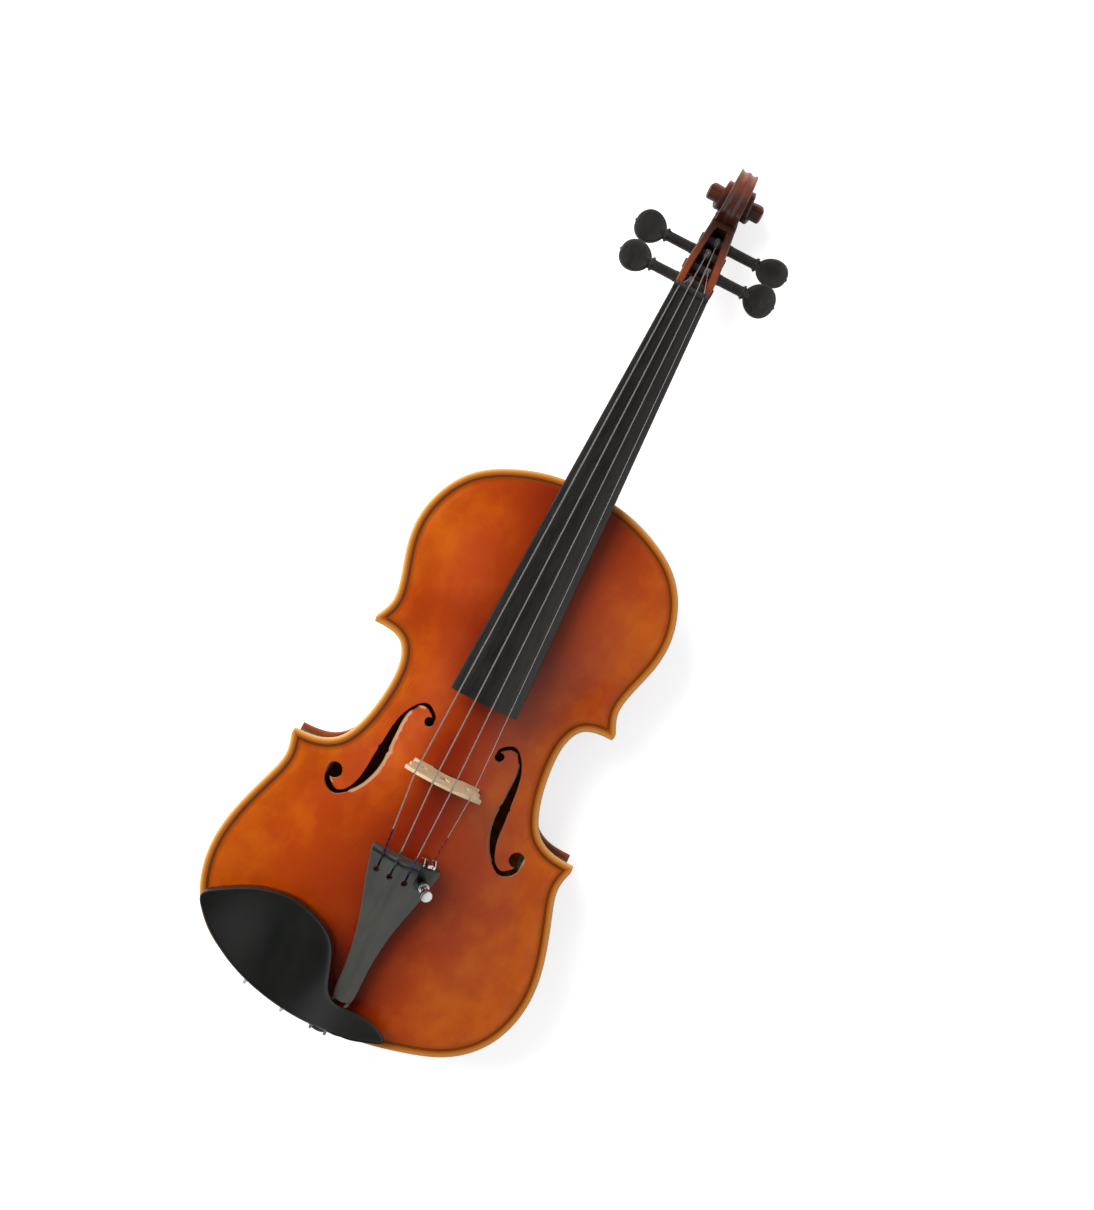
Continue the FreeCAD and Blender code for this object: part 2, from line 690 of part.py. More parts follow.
def peg(name):
    """A peg built at the origin with its head on the +X side, then turned to its own side."""
    p = PEGS[name]
    reach = PEG_COLLAR_X + 13.2
    shaft = Part.makeCone(peg_radius(0), peg_radius(reach), reach, V(PEG_COLLAR_X, 0, 0), V(-1, 0, 0))
    collar = Part.makeCylinder(5.0, 1.4, V(PEG_COLLAR_X, 0, 0), V(1, 0, 0))
    stalk = Part.makeCone(4.0, 3.0, 4.5, V(PEG_COLLAR_X + 1.0, 0, 0), V(1, 0, 0))
    thick = 4.0
    rim = 10.6
    ball = (rim ** 2 + thick ** 2) / (2 * thick)
    disc = Part.makeSphere(ball, V(0, 0, thick - ball)).common(Part.makeSphere(ball, V(0, 0, ball - thick)))
    disc = disc.makeFillet(0.9, [e for e in disc.Edges if abs(e.BoundBox.ZLength) < 0.01 and e.Length > 20])
    disc.rotate(V(0, 0, 0), V(0, 0, 1), 45)
    disc.translate(V(PEG_HEAD_X, 0, 0))
    pip = Part.makeSphere(1.3, V(PEG_HEAD_X + 10.0, 0, 0))
    whole = solid_of(shaft.fuse([collar, stalk, disc, pip]))
    whole.rotate(V(0, 0, 0), V(1, 0, 0), p["turn"])
    if p["side"] < 0:
        whole.rotate(V(0, 0, 0), V(0, 0, 1), 180)
    whole.translate(V(0, p["y"], p["z"]))
    return whole


def wind_centre(string):
    p = PEGS[string["peg"]]
    x = string["wind"]
    r = peg_radius(PEG_COLLAR_X - p["side"] * x)
    return V(x, p["y"], p["z"]), r


def winding(string):
    """Closed turns of string around the peg."""
    c, r = wind_centre(string)
    wire_r = string["r"]
    outer = Part.makeCylinder(r + 2 * wire_r, WIND_LONG, V(c.x - WIND_LONG / 2, c.y, c.z), V(1, 0, 0))
    inner = Part.makeCylinder(r + RUN_FIT, WIND_LONG + 2, V(c.x - WIND_LONG / 2 - 1, c.y, c.z), V(1, 0, 0))
    return outer.cut(inner)


# ---------------------------------------------------------------- bridge and strings

def crest(x):
    return BRIDGE_TOP - (BRIDGE_R - math.sqrt(BRIDGE_R ** 2 - (x + 1.0) ** 2))


def bridge(outer_high, cutters):
    foot = 56.0
    right = [(0, 68.5), (5.0, 67.0), (8.2, 63.5), (9.0, 60.0), (9.2, foot), (20.9, foot), (20.9, 62.0),
             (16.8, 63.2), (15.6, 66.5), (17.6, 70.0), (21.6, 72.6), (22.6, 76.5), (19.8, 77.6),
             (18.9, 79.6), (20.2, 82.0), (23.6, 85.4)]
    pts = [V(x, 0, z) for x, z in right[::-1]]
    pts += [V(-x, 0, z) for x, z in right[1:]]
    edges = [Part.makePolygon(pts)]
    arc = Part.Arc(pts[-1], V(-1.0, 0, BRIDGE_TOP), pts[0]).toShape()
    wire = Part.Wire(edges[0].Edges + [arc])
    plate = Part.Face(wire).extrude(V(0, 12, 0))
    plate.translate(V(0, BRIDGE_Y - 3, 0))
    tail = BRIDGE_Y - BRIDGE_CREST / 2
    side = [V(-30, tail, foot - 1), V(-30, tail, 100), V(-30, tail + BRIDGE_CREST, 100),
            V(-30, tail + BRIDGE_CREST, BRIDGE_TOP), V(-30, tail + 3.4, 76), V(-30, tail + BRIDGE_FOOT, 62),
            V(-30, tail + BRIDGE_FOOT, foot - 1)]
    wedge = Part.Face(Part.makePolygon(side + [side[0]])).extrude(V(60, 0, 0))
    body = plate.common(wedge)
    heart = Part.makeCylinder(2.6, 20, V(-2.2, BRIDGE_Y - 5, 80), V(0, 1, 0))
    heart = heart.fuse(Part.makeCylinder(2.6, 20, V(2.2, BRIDGE_Y - 5, 80), V(0, 1, 0)))
    tip = Part.Face(Part.makePolygon([V(-4.5, 0, 79), V(4.5, 0, 79), V(0, 0, 73.5), V(-4.5, 0, 79)]))
    tip = tip.extrude(V(0, 20, 0))
    tip.translate(V(0, BRIDGE_Y - 5, 0))
    body = body.cut(heart).cut(tip)
    for s in (1, -1):
        kidney = Part.makeCylinder(2.3, 20, V(s * 13.4, BRIDGE_Y - 5, 75.2), V(0, 1, 0))
        body = body.cut(kidney)
    body = body.cut(under(outer_high))
    return solid_of(body.cut(cutters))


def string_points(string):
    r = string["r"]
    xb = string["bridge"]
    xn = string["nut"]
    at_bridge = V(xb, BRIDGE_Y, crest(xb) + 0.2 * r)
    nut_top = board_top(xn, NUT_Y) + 0.75
    at_nut = V(xn, NUT_Y + 0.8, nut_top + 0.1 * r)
    c, pr = wind_centre(string)
    reach = pr + 2 * r + r + 0.06
    dy = c.y - at_nut.y
    dz = c.z - at_nut.z
    far = math.hypot(dy, dz)
    run = math.sqrt(far * far - reach * reach)
    heading = math.atan2(dz, dy) + math.asin(reach / far)
    end = V(c.x, at_nut.y + run * math.cos(heading), at_nut.z + run * math.sin(heading))
    points = [end, at_nut, at_bridge]
    if string["name"] == "e":
        points.append(tuner_point(0.0, TUNER_PIVOT_B + 1.9, 3.4))
    else:
        points.append(tail_point(string["hole"], -2.6, fret_top(string["hole"]) + r + 0.06))
        points.append(tail_point(string["hole"], HOLE_V - 0.2, tail_ridge(string["hole"], HOLE_V) - 4.4))
    return points


def make_string(string, grow=0.0):
    points = string_points(string)
    return cord(points, string["r"] + grow, 1.6)


def silk(string):
    """Coloured wrap on the tail end of a string, a sleeve closed around it."""
    points = string_points(string)
    long = 15.0 if string["name"] == "g" else 6.0
    if string["name"] == "e":
        end = points[-1]
        back = points[-2].sub(end).normalize()
        a = end.add(V(back).multiply(1.5))
        b = a.add(V(back).multiply(16.0))
    else:
        corner = points[-2]
        back = points[-3].sub(corner).normalize()
        a = corner.add(V(back).multiply(2.2))
        b = a.add(V(back).multiply(long))
    grow = 0.16
    tube = rod(a, b, string["r"] + grow)
    bore = rod(a.sub(V(back).multiply(1)), b.add(V(back).multiply(1)), string["r"] + 0.02)
    return tube.cut(bore)


def ball_ends():
    out = []
    for s in STRINGS:
        if s["name"] == "e":
            continue
        end = string_points(s)[-1]
        before = string_points(s)[-2]
        d = end.sub(before).normalize()
        out.append(rod(end.add(V(d).multiply(0.03)), end.add(V(d).multiply(2.6)), 1.5))
    return Part.makeCompound(out)


# ---------------------------------------------------------------- tailpiece

def tail_place(shape):
    shape.rotate(V(0, 0, 0), V(1, 0, 0), TAIL_TILT)
    shape.rotate(V(0, 0, 0), V(0, 0, 1), TAIL_SKEW)
    shape.translate(TAIL_TOP)
    return shape


def turned(p, axis, degrees):
    return FreeCAD.Rotation(axis, degrees).multVec(p)


def tail_point(u, v, w):
    p = turned(V(u, v, w), V(1, 0, 0), TAIL_TILT)
    p = turned(p, V(0, 0, 1), TAIL_SKEW)
    return p.add(TAIL_TOP)


def tail_values(v):
    return [interpolate([(s[0], s[k]) for s in TAIL_STATIONS], v) for k in (1, 2, 3)]


def tail_ridge(u, v):
    half, side, low = tail_values(v)
    return side * abs(u) / half


def fret_top(u):
    return tail_ridge(u, -2.6) + 1.1


def tail_loft(stations):
    wires = []
    for v, half, ridge, side, low in stations:
        corners = [V(-half, v, low), V(-half, v, side), V(0, v, ridge), V(half, v, side), V(half, v, low)]
        wires.append(Part.makePolygon(corners + [corners[0]]))
    return Part.makeLoft(wires, True, False)


def tailpiece(cutters):
    body = tail_loft([(s[0], s[1], 0.0, s[2], s[3]) for s in TAIL_STATIONS])
    pocket = []
    for v in (-3.2, -9.0, -15.0, -22.0):
        half, side, low = tail_values(v)
        h = half - 3.0
        pocket.append((v, h, -3.2, side * h / half - 3.2, low - 2.0))
    body = body.cut(tail_loft(pocket))
    half = 5.4
    body = body.cut(box(-half - 0.6, half + 0.6, 5.0 - TAIL_LONG, 12.0 - TAIL_LONG, -12, -4.2))
    for s in (1, -1):
        channel = Part.makeCylinder(GUT_R + 0.06, 14, V(s * GUT_X, -3.0 - TAIL_LONG, -5.6), V(0, 1, 0))
        body = body.cut(channel)
    for st in STRINGS:
        u = st["hole"]
        if st["name"] == "e":
            continue
        body = body.cut(Part.makeCylinder(1.9, 20, V(u, HOLE_V, -12), V(0, 0, 1)))
        slot = box(u - 0.6, u + 0.6, HOLE_V, -5.2, -12, 4)
        body = body.cut(slot)
    body = tail_place(body)
    body = body.cut(tuner_place(Part.makeCylinder(2.5, 16, V(0, 0, -9), V(0, 0, 1))))
    return solid_of(body.cut(cutters))


def tailpiece_fret(cutters):
    half = 20.2
    reach = 8.6
    pts = [V(-half, -3.4, tail_ridge(half, -3.4) - 0.9), V(-half, -3.4, tail_ridge(half, -2.6) + 1.1),
           V(0, -3.4, 1.1), V(reach, -3.4, tail_ridge(reach, -2.6) + 1.1),
           V(reach, -3.4, tail_ridge(reach, -3.4) - 0.9), V(0, -3.4, -0.9)]
    bar = Part.Face(Part.makePolygon(pts + [pts[0]])).extrude(V(0, 1.6, 0))
    return tail_place(bar).cut(cutters)


def fret_pocket():
    half = 20.2 + GLUE_GAP
    reach = 8.6 + GLUE_GAP
    g = GLUE_GAP
    pts = [V(-half, -3.4 - g, tail_ridge(half, -3.4) - 0.9 - g), V(-half, -3.4 - g, 4), V(reach, -3.4 - g, 4),
           V(reach, -3.4 - g, tail_ridge(reach, -3.4) - 0.9 - g), V(0, -3.4 - g, -0.9 - g)]
    bar = Part.Face(Part.makePolygon(pts + [pts[0]])).extrude(V(0, 1.6 + 2 * g, 0))
    return tail_place(bar)


def tuner_place(shape):
    shape.rotate(V(0, 0, 0), V(0, 1, 0), TUNER_LEAN)
    shape.translate(V(13.2, TUNER_V, tail_ridge(13.2, TUNER_V)))
    return tail_place(shape)


def tuner_point(a, b, c):
    p = turned(V(a, b, c), V(0, 1, 0), TUNER_LEAN)
    p = p.add(V(13.2, TUNER_V, tail_ridge(13.2, TUNER_V)))
    return tail_point(p.x, p.y, p.z)


def tuner_parts():
    front = -TUNER_V + 0.6
    plate = box(-3.9, 3.9, -5.0, front + 0.6, 0.1, 1.4)
    sleeve = Part.makeCylinder(2.35, 8.1, V(0, 0, -3.0))
    bracket = plate.fuse(sleeve)
    for s in (1, -1):
        x0 = 2.9 if s > 0 else -3.9
        cheek = box(x0, x0 + 1.0, front, TUNER_PIVOT_B + 2.0, -6.2, 1.4)
        bracket = bracket.fuse(cheek)
    bracket = bracket.cut(box(-1.7, 1.7, TUNER_PIVOT_B - 2.8, TUNER_PIVOT_B, 0, 1.5))
    bracket = bracket.cut(Part.makeCylinder(SCREW_R + RUN_FIT, 30, V(0, 0, -12)))
    pin_at = V(-4.2, TUNER_PIVOT_B, TUNER_PIVOT_C)
    bracket = bracket.cut(Part.makeCylinder(0.75, 9, pin_at, V(1, 0, 0)))
    pin = Part.makeCylinder(0.73, 8.4, pin_at, V(1, 0, 0))
    b = TUNER_PIVOT_B
    profile = [V(0, b - 1.1, 5.0), V(0, b + 1.1, 5.0), V(0, b + 1.3, -5.8), V(0, b - 0.6, -8.4),
               V(0, -2.4, -8.4), V(0, -2.4, -7.0), V(0, b - 2.4, -7.0), V(0, b - 1.3, -6.0)]
    lever = Part.Face(Part.makePolygon(profile + [profile[0]])).extrude(V(3.0, 0, 0))
    lever.translate(V(-1.5, 0, 0))
    ear = box(-2.7, 2.7, b - 1.1, b + 1.1, 3.6, 5.0)
    lever = lever.fuse(ear)
    lever = lever.cut(Part.makeCylinder(0.73 + RUN_FIT, 9, pin_at, V(1, 0, 0)))
    lever = lever.cut(box(-0.5, 0.5, b - 2, b + 2, 2.6, 6))
    ring = Part.makeCylinder(3.3, 3.4, V(0, 0, 5.12))
    ring = ring.cut(Part.makeCylinder(SCREW_R + RUN_FIT, 10, V(0, 0, 3)))
    shank = Part.makeCylinder(SCREW_R, 20.4, V(0, 0, TUNER_TIP))
    head = Part.makeCylinder(3.5, 4.0, V(0, 0, 13.52))
    head = head.makeFillet(0.6, [head.Edges[0], head.Edges[2]])
    names = ["tuner_bracket", "tuner_pin", "tuner_lever", "tuner_nut", "tuner_screw", "tuner_head"]
    shapes = [bracket, pin, lever, ring, shank, head]
    return {n: tuner_place(s.copy()) for n, s in zip(names, shapes)}


def gut_points():
    """The gut leaves the tailpiece on one side, turns round the end button and comes back."""
    pts = []
    tail = -BODY_LENGTH
    saddle_z = SADDLE_TOP + GUT_R + 0.05
    for s in (-1, 1):
        side = [tail_point(s * GUT_X, 6.4 - TAIL_LONG, -5.6), tail_point(s * GUT_X, -1.5 - TAIL_LONG, -5.6),
                V(s * GUT_X, tail + SADDLE_LONG - 1.6, saddle_z), V(s * GUT_X, tail - 0.95, saddle_z),
                V(s * GUT_X, tail - 0.95, BUTTON_Z + 7.0)]
        if s > 0:
            side = side[::-1]
        pts.append(side)
    left, right = pts
    loop = PIN_R + GUT_R + 0.5
    low = [V(-loop, tail - 1.9, BUTTON_Z), V(1.3 - loop, tail - 1.9, BUTTON_Z - loop),
           V(loop - 1.3, tail - 1.9, BUTTON_Z - loop), V(loop, tail - 1.9, BUTTON_Z)]
    return left + low + right


def tail_gut():
    return cord(gut_points(), GUT_R, 1.3)


def gut_nuts():
    out = []
    for s in (-1, 1):
        a = tail_point(s * GUT_X, 6.6 - TAIL_LONG, -5.6)
        b = tail_point(s * GUT_X, 9.8 - TAIL_LONG, -5.6)
        out.append(rod(a, b, 1.35))
    return Part.makeCompound(out)


def end_button():
    rib = -BODY_LENGTH + OVERHANG - 0.05
    profile = [V(0, rib + 22, 0), V(3.3, rib + 22, 0), V(PIN_R, rib, 0), V(6.2, rib, 0), V(6.2, rib - 1.6, 0),
               V(3.9, rib - 2.2, 0), V(3.8, rib - 5.5, 0), V(7.2, rib - 6.1, 0), V(7.6, rib - 8.0, 0),
               V(6.0, rib - 10.6, 0), V(0, from_tail(-9.0), 0)]
    face = Part.Face(Part.makePolygon(profile + [profile[0]]))
    solid = face.revolve(V(0, 0, 0), V(0, 1, 0), 360)
    solid.translate(V(0, 0, BUTTON_Z))
    return solid


def button_hole():
    rib = -BODY_LENGTH + OVERHANG - 0.05
    cone = Part.makeCone(PIN_R + 0.05, 3.3 + 0.05, 22, V(0, rib, BUTTON_Z), V(0, 1, 0))
    tip = Part.makeCylinder(3.3 + 0.05, 3, V(0, rib + 21.9, BUTTON_Z), V(0, 1, 0))
    front = Part.makeCylinder(PIN_R + 0.05, 3, V(0, rib - 3, BUTTON_Z), V(0, 1, 0))
    return cone.fuse([tip, front])


# ---------------------------------------------------------------- chin rest

# outline of the plate, by x and the distance up from the lower edge
CHIN = [(-94.4, 43.5), (-88.0, 49.8), (-79.3, 54.9), (-70.5, 59.3), (-61.0, 62.3), (-53.0, 63.7),
        (-45.0, 64.0), (-38.0, 63.2), (-31.5, 61.3), (-24.6, 58.5), (-18.6, 54.6), (-14.6, 50.0),
        (-12.0, 45.0), (-9.9, 39.5), (-7.8, 33.0), (-5.2, 26.5), (0.6, 20.2), (11.5, 19.0),
        (22.5, 18.6), (32.1, 15.8), (37.6, 11.2), (30.8, 7.2), (19.5, 3.6), (7.0, 2.6), (-5.5, 2.5),
        (-18.5, 3.5), (-32.0, 5.4), (-45.5, 8.4), (-61.5, 14.2), (-72.0, 20.2), (-81.0, 26.8), (-89.8, 35.4)]


def chin_top(x, y):
    """Upper surface: a rim around a dished cup, lower where it passes the tail."""
    dx = (x + 47.0) / 33.0
    dy = (y - from_tail(35.0)) / 27.0
    d = math.sqrt(dx * dx + dy * dy)
    cup = 4.6 * (0.5 + 0.5 * math.cos(math.pi * min(d, 1.25) / 1.25))
    fall = 1.0 / (1.0 + math.exp(-(x + 4.0) / 6.0))
    tail = 1.0 / (1.0 + math.exp((y - from_tail(20.0)) / 5.0))
    base = 69.2 - 4.2 * tail - 6.0 * fall
    return base - cup


def chin_low(x, y):
    fall = 1.0 / (1.0 + math.exp(-(x + 4.0) / 6.0))
    belly = TOP_EDGE + TOP_ARCH * arch(x, y)
    return max(58.6 - 0.4 * fall, belly + 3.2)


def chinrest_plate():
    pts = [V(x, from_tail(up), 50) for x, up in CHIN]
    face = Part.Face(Part.Wire(spline(pts, True).toShape()))
    blank = face.extrude(V(0, 0, 30))
    roof = field(chin_top, -98, 44, from_tail(-2), from_tail(72), 29, 21)
    floor = field(chin_low, -98, 44, from_tail(-2), from_tail(72), 29, 21)
    return solid_of(blank.common(under(roof, 60)).cut(under(floor, 60)))


def chin_corks(outer_high):
    """Cork pads between the chin rest and the belly edge, beside both clamps."""
    out = []
    for x0, x1, up0, up1 in ((-60, -44, 19.0, 26.0), (-34, -18, 13.0, 20.0)):
        pad = box(x0, x1, from_tail(up0), from_tail(up1), 45, 80)
        floor = field(lambda x, y: chin_low(x, y) - 0.02, -98, 44, from_tail(-2), from_tail(72), 29, 21)
        out.append(solid_of(pad.common(under(floor, 60)).cut(under(outer_high, 60))))
    return Part.makeCompound(out)


def edge_y(x):
    pts = offset_points(lower_stations(), 0.0, 80)
    best = min(pts, key=lambda p: abs(p[0] - abs(x)))
    return best[1]


def edge_slope(x):
    """How far the lower edge runs sideways for each millimetre outwards."""
    return 0.19 if abs(x) > 35 else 0.08


def barrel_axis(x):
    return x - edge_slope(x) * BARREL_OFF, edge_y(x) - BARREL_OFF - BARREL_R * 0.2


def clamp_parts():
    parts = {}
    top = []
    low = []
    for x, name in BARRELS:
        ax, ay = barrel_axis(x)
        barrel = Part.makeCylinder(BARREL_R, BARREL_LONG, V(ax, ay, BARREL_Z))
        barrel = barrel.cut(Part.makeCylinder(POST_R + RUN_FIT, BARREL_LONG + 2, V(ax, ay, BARREL_Z - 1)))
        key = Part.makeCylinder(KEY_R, 10, V(ax, ay - 5, BARREL_Z + BARREL_LONG / 2), V(0, 1, 0))
        parts[name] = barrel.cut(key)
        top.append(cord([V(ax, ay, BARREL_Z + BARREL_LONG / 2 + 1.4), V(ax, ay, POST_BEND_Z),
                         V(ax + edge_slope(x) * POST_REACH, ay + POST_REACH, POST_BEND_Z + POST_RISE)], POST_R, 1.6))
        low.append(Part.makeCylinder(POST_R, 24.0, V(ax, ay, 6.4)))
    ax0, ay0 = barrel_axis(BARRELS[0][0])
    ax1, ay1 = barrel_axis(BARRELS[1][0])
    parts["clamp_top"] = top
    bar_pts = [V(ax0 - 2.5, ay0 - 1.7, 4.9), V(ax1 + 3.0, ay1 - 1.9, 4.9), V(ax1 + 3.0, ay1 + 11.0, 4.9),
               V(ax0 + 0.0, ay0 + 13.0, 4.9)]
    plate = Part.Face(Part.makePolygon(bar_pts + [bar_pts[0]])).extrude(V(0, 0, 1.6))
    parts["clamp_bottom"] = solid_of(plate.fuse(low))
    pad_pts = [V(ax0 + 1.0, ay0 + 5.2, 6.52), V(ax1 + 1.0, ay1 + 4.0, 6.52), V(ax1 + 1.0, ay1 + 10.6, 6.52),
               V(ax0 + 1.6, ay0 + 12.0, 6.52)]
    parts["pad"] = Part.Face(Part.makePolygon(pad_pts + [pad_pts[0]])).extrude(V(0, 0, 6))
    return parts


# ---------------------------------------------------------------- all pieces

def build():
    top_outer = arch_field(TOP_EDGE, TOP_ARCH)
    top_inner = arch_field(TOP_EDGE - PLATE, TOP_ARCH)
    back_outer = arch_field(BACK_EDGE_LOW, -BACK_ARCH)
    back_inner = arch_field(BACK_EDGE_LOW + PLATE, -BACK_ARCH)
    top_inner_fit = arch_field(TOP_EDGE - PLATE - GLUE_GAP, TOP_ARCH)
    back_inner_fit = arch_field(BACK_EDGE_LOW + PLATE + GLUE_GAP, -BACK_ARCH)
    top_outer_fit = arch_field(TOP_EDGE + GLUE_GAP, TOP_ARCH)
    root = neck_root(GLUE_GAP)
    pin_hole = button_hole()
    pieces = {}

    pieces["top_plate"] = top_plate(top_outer, top_inner, root, saddle_pocket())
    pieces["back_plate"] = back_plate(back_outer, back_inner)
    ring = purfling_ring(TOP_EDGE - PURFLING_DEEP, TOP_EDGE, GLUE_GAP)
    pieces["purfling_top"] = ring.cut(root).cut(saddle_pocket())
    pieces["purfling_back"] = purfling_ring(BACK_EDGE_LOW, BACK_EDGE_LOW + PURFLING_DEEP, GLUE_GAP)
    for name, rib in ribs(root).items():
        pieces[name] = rib.cut(pin_hole) if "lower" in name else rib
    top_block, bottom_block, corners = block_set(root, pin_hole)
    pieces["top_block"] = top_block
    pieces["bottom_block"] = bottom_block
    pieces["corner_blocks"] = corners
    solid_zone = Part.makeCompound([top_block_zone(), bottom_block_zone()])
    pieces["linings_top"] = linings(RIB_HIGH - LINING_DEEP, RIB_HIGH, solid_zone).cut(corners)
    pieces["linings_back"] = linings(RIB_LOW, RIB_LOW + LINING_DEEP, solid_zone).cut(corners)
    pieces["bass_bar"] = bass_bar(top_inner_fit)
    pieces["sound_post"] = sound_post(top_inner_fit, back_inner_fit)
    pieces["saddle"] = saddle()

    pieces["neck_scroll"] = neck_scroll()
    pieces["fingerboard"] = fingerboard()

    grooves = Part.makeCompound([make_string(s, 0.06) for s in STRINGS])
    for s in STRINGS:
        pieces["string_" + s["name"]] = make_string(s)
        pieces["silk_" + s["name"]] = silk(s)
        pieces["winding_" + s["name"]] = winding(s)
    for name in PEGS:
        pieces["peg_" + name] = peg(name)
    pieces["nut"] = nut(grooves)
    pieces["bridge"] = bridge(top_outer_fit, grooves)
    pieces["ball_ends"] = ball_ends()
    pieces["tailpiece"] = tailpiece(Part.makeCompound([grooves, fret_pocket()]))
    pieces["tailpiece_fret"] = tailpiece_fret(grooves)
    pieces.update(tuner_parts())
    pieces["tail_gut"] = tail_gut()
    pieces["tail_gut_nuts"] = gut_nuts()
    pieces["end_button"] = end_button()

    plate = chinrest_plate()
    clamp = clamp_parts()
    posts = clamp["clamp_top"]
    pieces["chinrest_plate"] = solid_of(plate.cut(Part.makeCompound(posts)))
    pieces["clamp_top"] = Part.makeCompound(posts)
    pieces["chinrest_corks"] = chin_corks(top_outer_fit)
    for x, name in BARRELS:
        pieces[name] = clamp[name]
    pieces["clamp_bottom"] = clamp["clamp_bottom"]
    pieces["clamp_cork"] = solid_of(clamp["pad"].common(under(arch_field(BACK_EDGE_LOW - 0.05, -BACK_ARCH), 60)))
    return pieces


def main():
    os.makedirs("parts", exist_ok=True)
    for name, shape in build().items():
        shape = shape.copy()
        shape.translate(V(0, ORIGIN_Y, 0))
        shape.exportStep("parts/" + name + ".step")
        b = shape.BoundBox
        ok = shape.isValid()
        print("%-18s solids %2d valid %s vol %10.1f  x %7.1f %7.1f  y %7.1f %7.1f  z %6.1f %6.1f" % (
            name, len(shape.Solids), ok, shape.Volume, b.XMin, b.XMax, b.YMin, b.YMax, b.ZMin, b.ZMax))


main()
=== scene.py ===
# %% [markdown]
# # A violin, dressed in Blender
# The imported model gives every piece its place. It is loaded once as a fixed frame, and nothing in it is moved.
# Each visible piece is then made again with the curves, edges and finishes of the real one, in the same place.

# %% Load the frame
import bpy, bmesh, math
from mathutils import Matrix, Vector, noise
from mathutils.geometry import delaunay_2d_cdt
from mathutils.kdtree import KDTree


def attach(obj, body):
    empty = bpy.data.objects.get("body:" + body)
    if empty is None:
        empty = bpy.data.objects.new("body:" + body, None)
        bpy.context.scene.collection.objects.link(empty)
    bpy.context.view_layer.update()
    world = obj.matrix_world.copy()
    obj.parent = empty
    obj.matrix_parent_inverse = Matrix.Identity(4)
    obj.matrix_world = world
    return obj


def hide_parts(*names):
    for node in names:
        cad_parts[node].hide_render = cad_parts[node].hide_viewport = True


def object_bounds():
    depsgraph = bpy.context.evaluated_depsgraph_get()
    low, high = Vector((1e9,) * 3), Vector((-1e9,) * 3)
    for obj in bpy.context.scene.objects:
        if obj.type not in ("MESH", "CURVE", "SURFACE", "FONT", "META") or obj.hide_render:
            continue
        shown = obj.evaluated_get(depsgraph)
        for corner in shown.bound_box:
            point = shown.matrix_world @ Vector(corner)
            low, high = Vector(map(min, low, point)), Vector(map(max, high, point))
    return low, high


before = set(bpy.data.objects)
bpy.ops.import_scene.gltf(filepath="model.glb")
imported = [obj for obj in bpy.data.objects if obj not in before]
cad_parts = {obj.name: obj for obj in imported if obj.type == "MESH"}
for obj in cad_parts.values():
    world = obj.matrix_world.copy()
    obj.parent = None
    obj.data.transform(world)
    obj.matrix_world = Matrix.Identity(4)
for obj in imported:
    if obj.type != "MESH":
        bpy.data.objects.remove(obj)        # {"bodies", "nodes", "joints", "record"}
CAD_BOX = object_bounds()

# %% [markdown]
# ## Measures
# A maker works in millimetres from the upper edge of the belly, and so does this script. Blender works in
# metres from the origin of the row, which lies 71 mm below that edge, so one function turns one into the other.

# %% From the maker's millimetres to the frame
MM = 0.001
ROW_Y = 71.0
BODY = "violin_body"


def at(x, y, z):
    return Vector((x * MM, (y + ROW_Y) * MM, z * MM))


low, high = CAD_BOX
print("length %.1f mm, width %.1f mm" % ((high[1] - low[1]) / MM, (high[0] - low[0]) / MM))

# %% [markdown]
# ## Camera
# The instrument lies on its back and is seen from straight above, turned so that the scroll points to the
# upper right. A camera is turned by the product of a roll about its own axis and two small tips.

# %% The camera above the belly
def placed(name, data):
    """An object for a mesh, a lamp or a camera, linked into the scene."""
    made = bpy.data.objects.new(name, data)
    bpy.context.scene.collection.objects.link(made)
    return made


camera = placed("camera", bpy.data.cameras.new("camera"))
bpy.context.scene.camera = camera
camera.data.sensor_fit = "VERTICAL"
camera.data.sensor_height = 24.0
camera.data.lens = 24.88
roll, tip, sway = math.radians(26.91), math.radians(-0.52), math.radians(2.37)
turn = Matrix.Rotation(roll, 4, "Z") @ Matrix.Rotation(-tip, 4, "X") @ Matrix.Rotation(-sway, 4, "Y")
camera.matrix_world = Matrix.Translation((-0.0166, -0.0216, 0.7904)) @ turn
bpy.context.scene.view_settings.view_transform = "Standard"
print("camera height %.3f m, lens %.2f mm" % (camera.location.z, camera.data.lens))

# %% [markdown]
# ## Small tools for nodes
# Shader nodes and geometry nodes are both trees. One short function adds a node, sets it and links it, so that
# the recipes below read as a list of steps.

# %% Add a node and link it
def add(tree, kind, out=0, inputs=None, **settings):
    """Adds a node; inputs holds plain values, or outputs of other nodes to link."""
    node = tree.nodes.new(kind)
    for key, value in settings.items():
        setattr(node, key, value)
    for key, value in (inputs or {}).items():
        if isinstance(value, bpy.types.NodeSocket):
            tree.links.new(value, node.inputs[key])
        else:
            node.inputs[key].default_value = value
    return node.outputs[out]


def calc(tree, operation, a, b=0.0, c=0.0):
    """One sum on a value; c is only for MULTIPLY_ADD, which gives a * b + c."""
    inputs = {0: a, 1: b}
    if operation == "MULTIPLY_ADD":
        inputs[2] = c
    return add(tree, "ShaderNodeMath", inputs=inputs, operation=operation)


def times(tree, a, b):
    return calc(tree, "MULTIPLY", a, b)


def xyz(tree, vector):
    """The three parts of a vector."""
    node = tree.nodes.new("ShaderNodeSeparateXYZ")
    tree.links.new(vector, node.inputs[0])
    return node.outputs


def painted(tree, name):
    """A value that is stored on the points of the piece."""
    return add(tree, "ShaderNodeAttribute", "Fac", attribute_name=name)


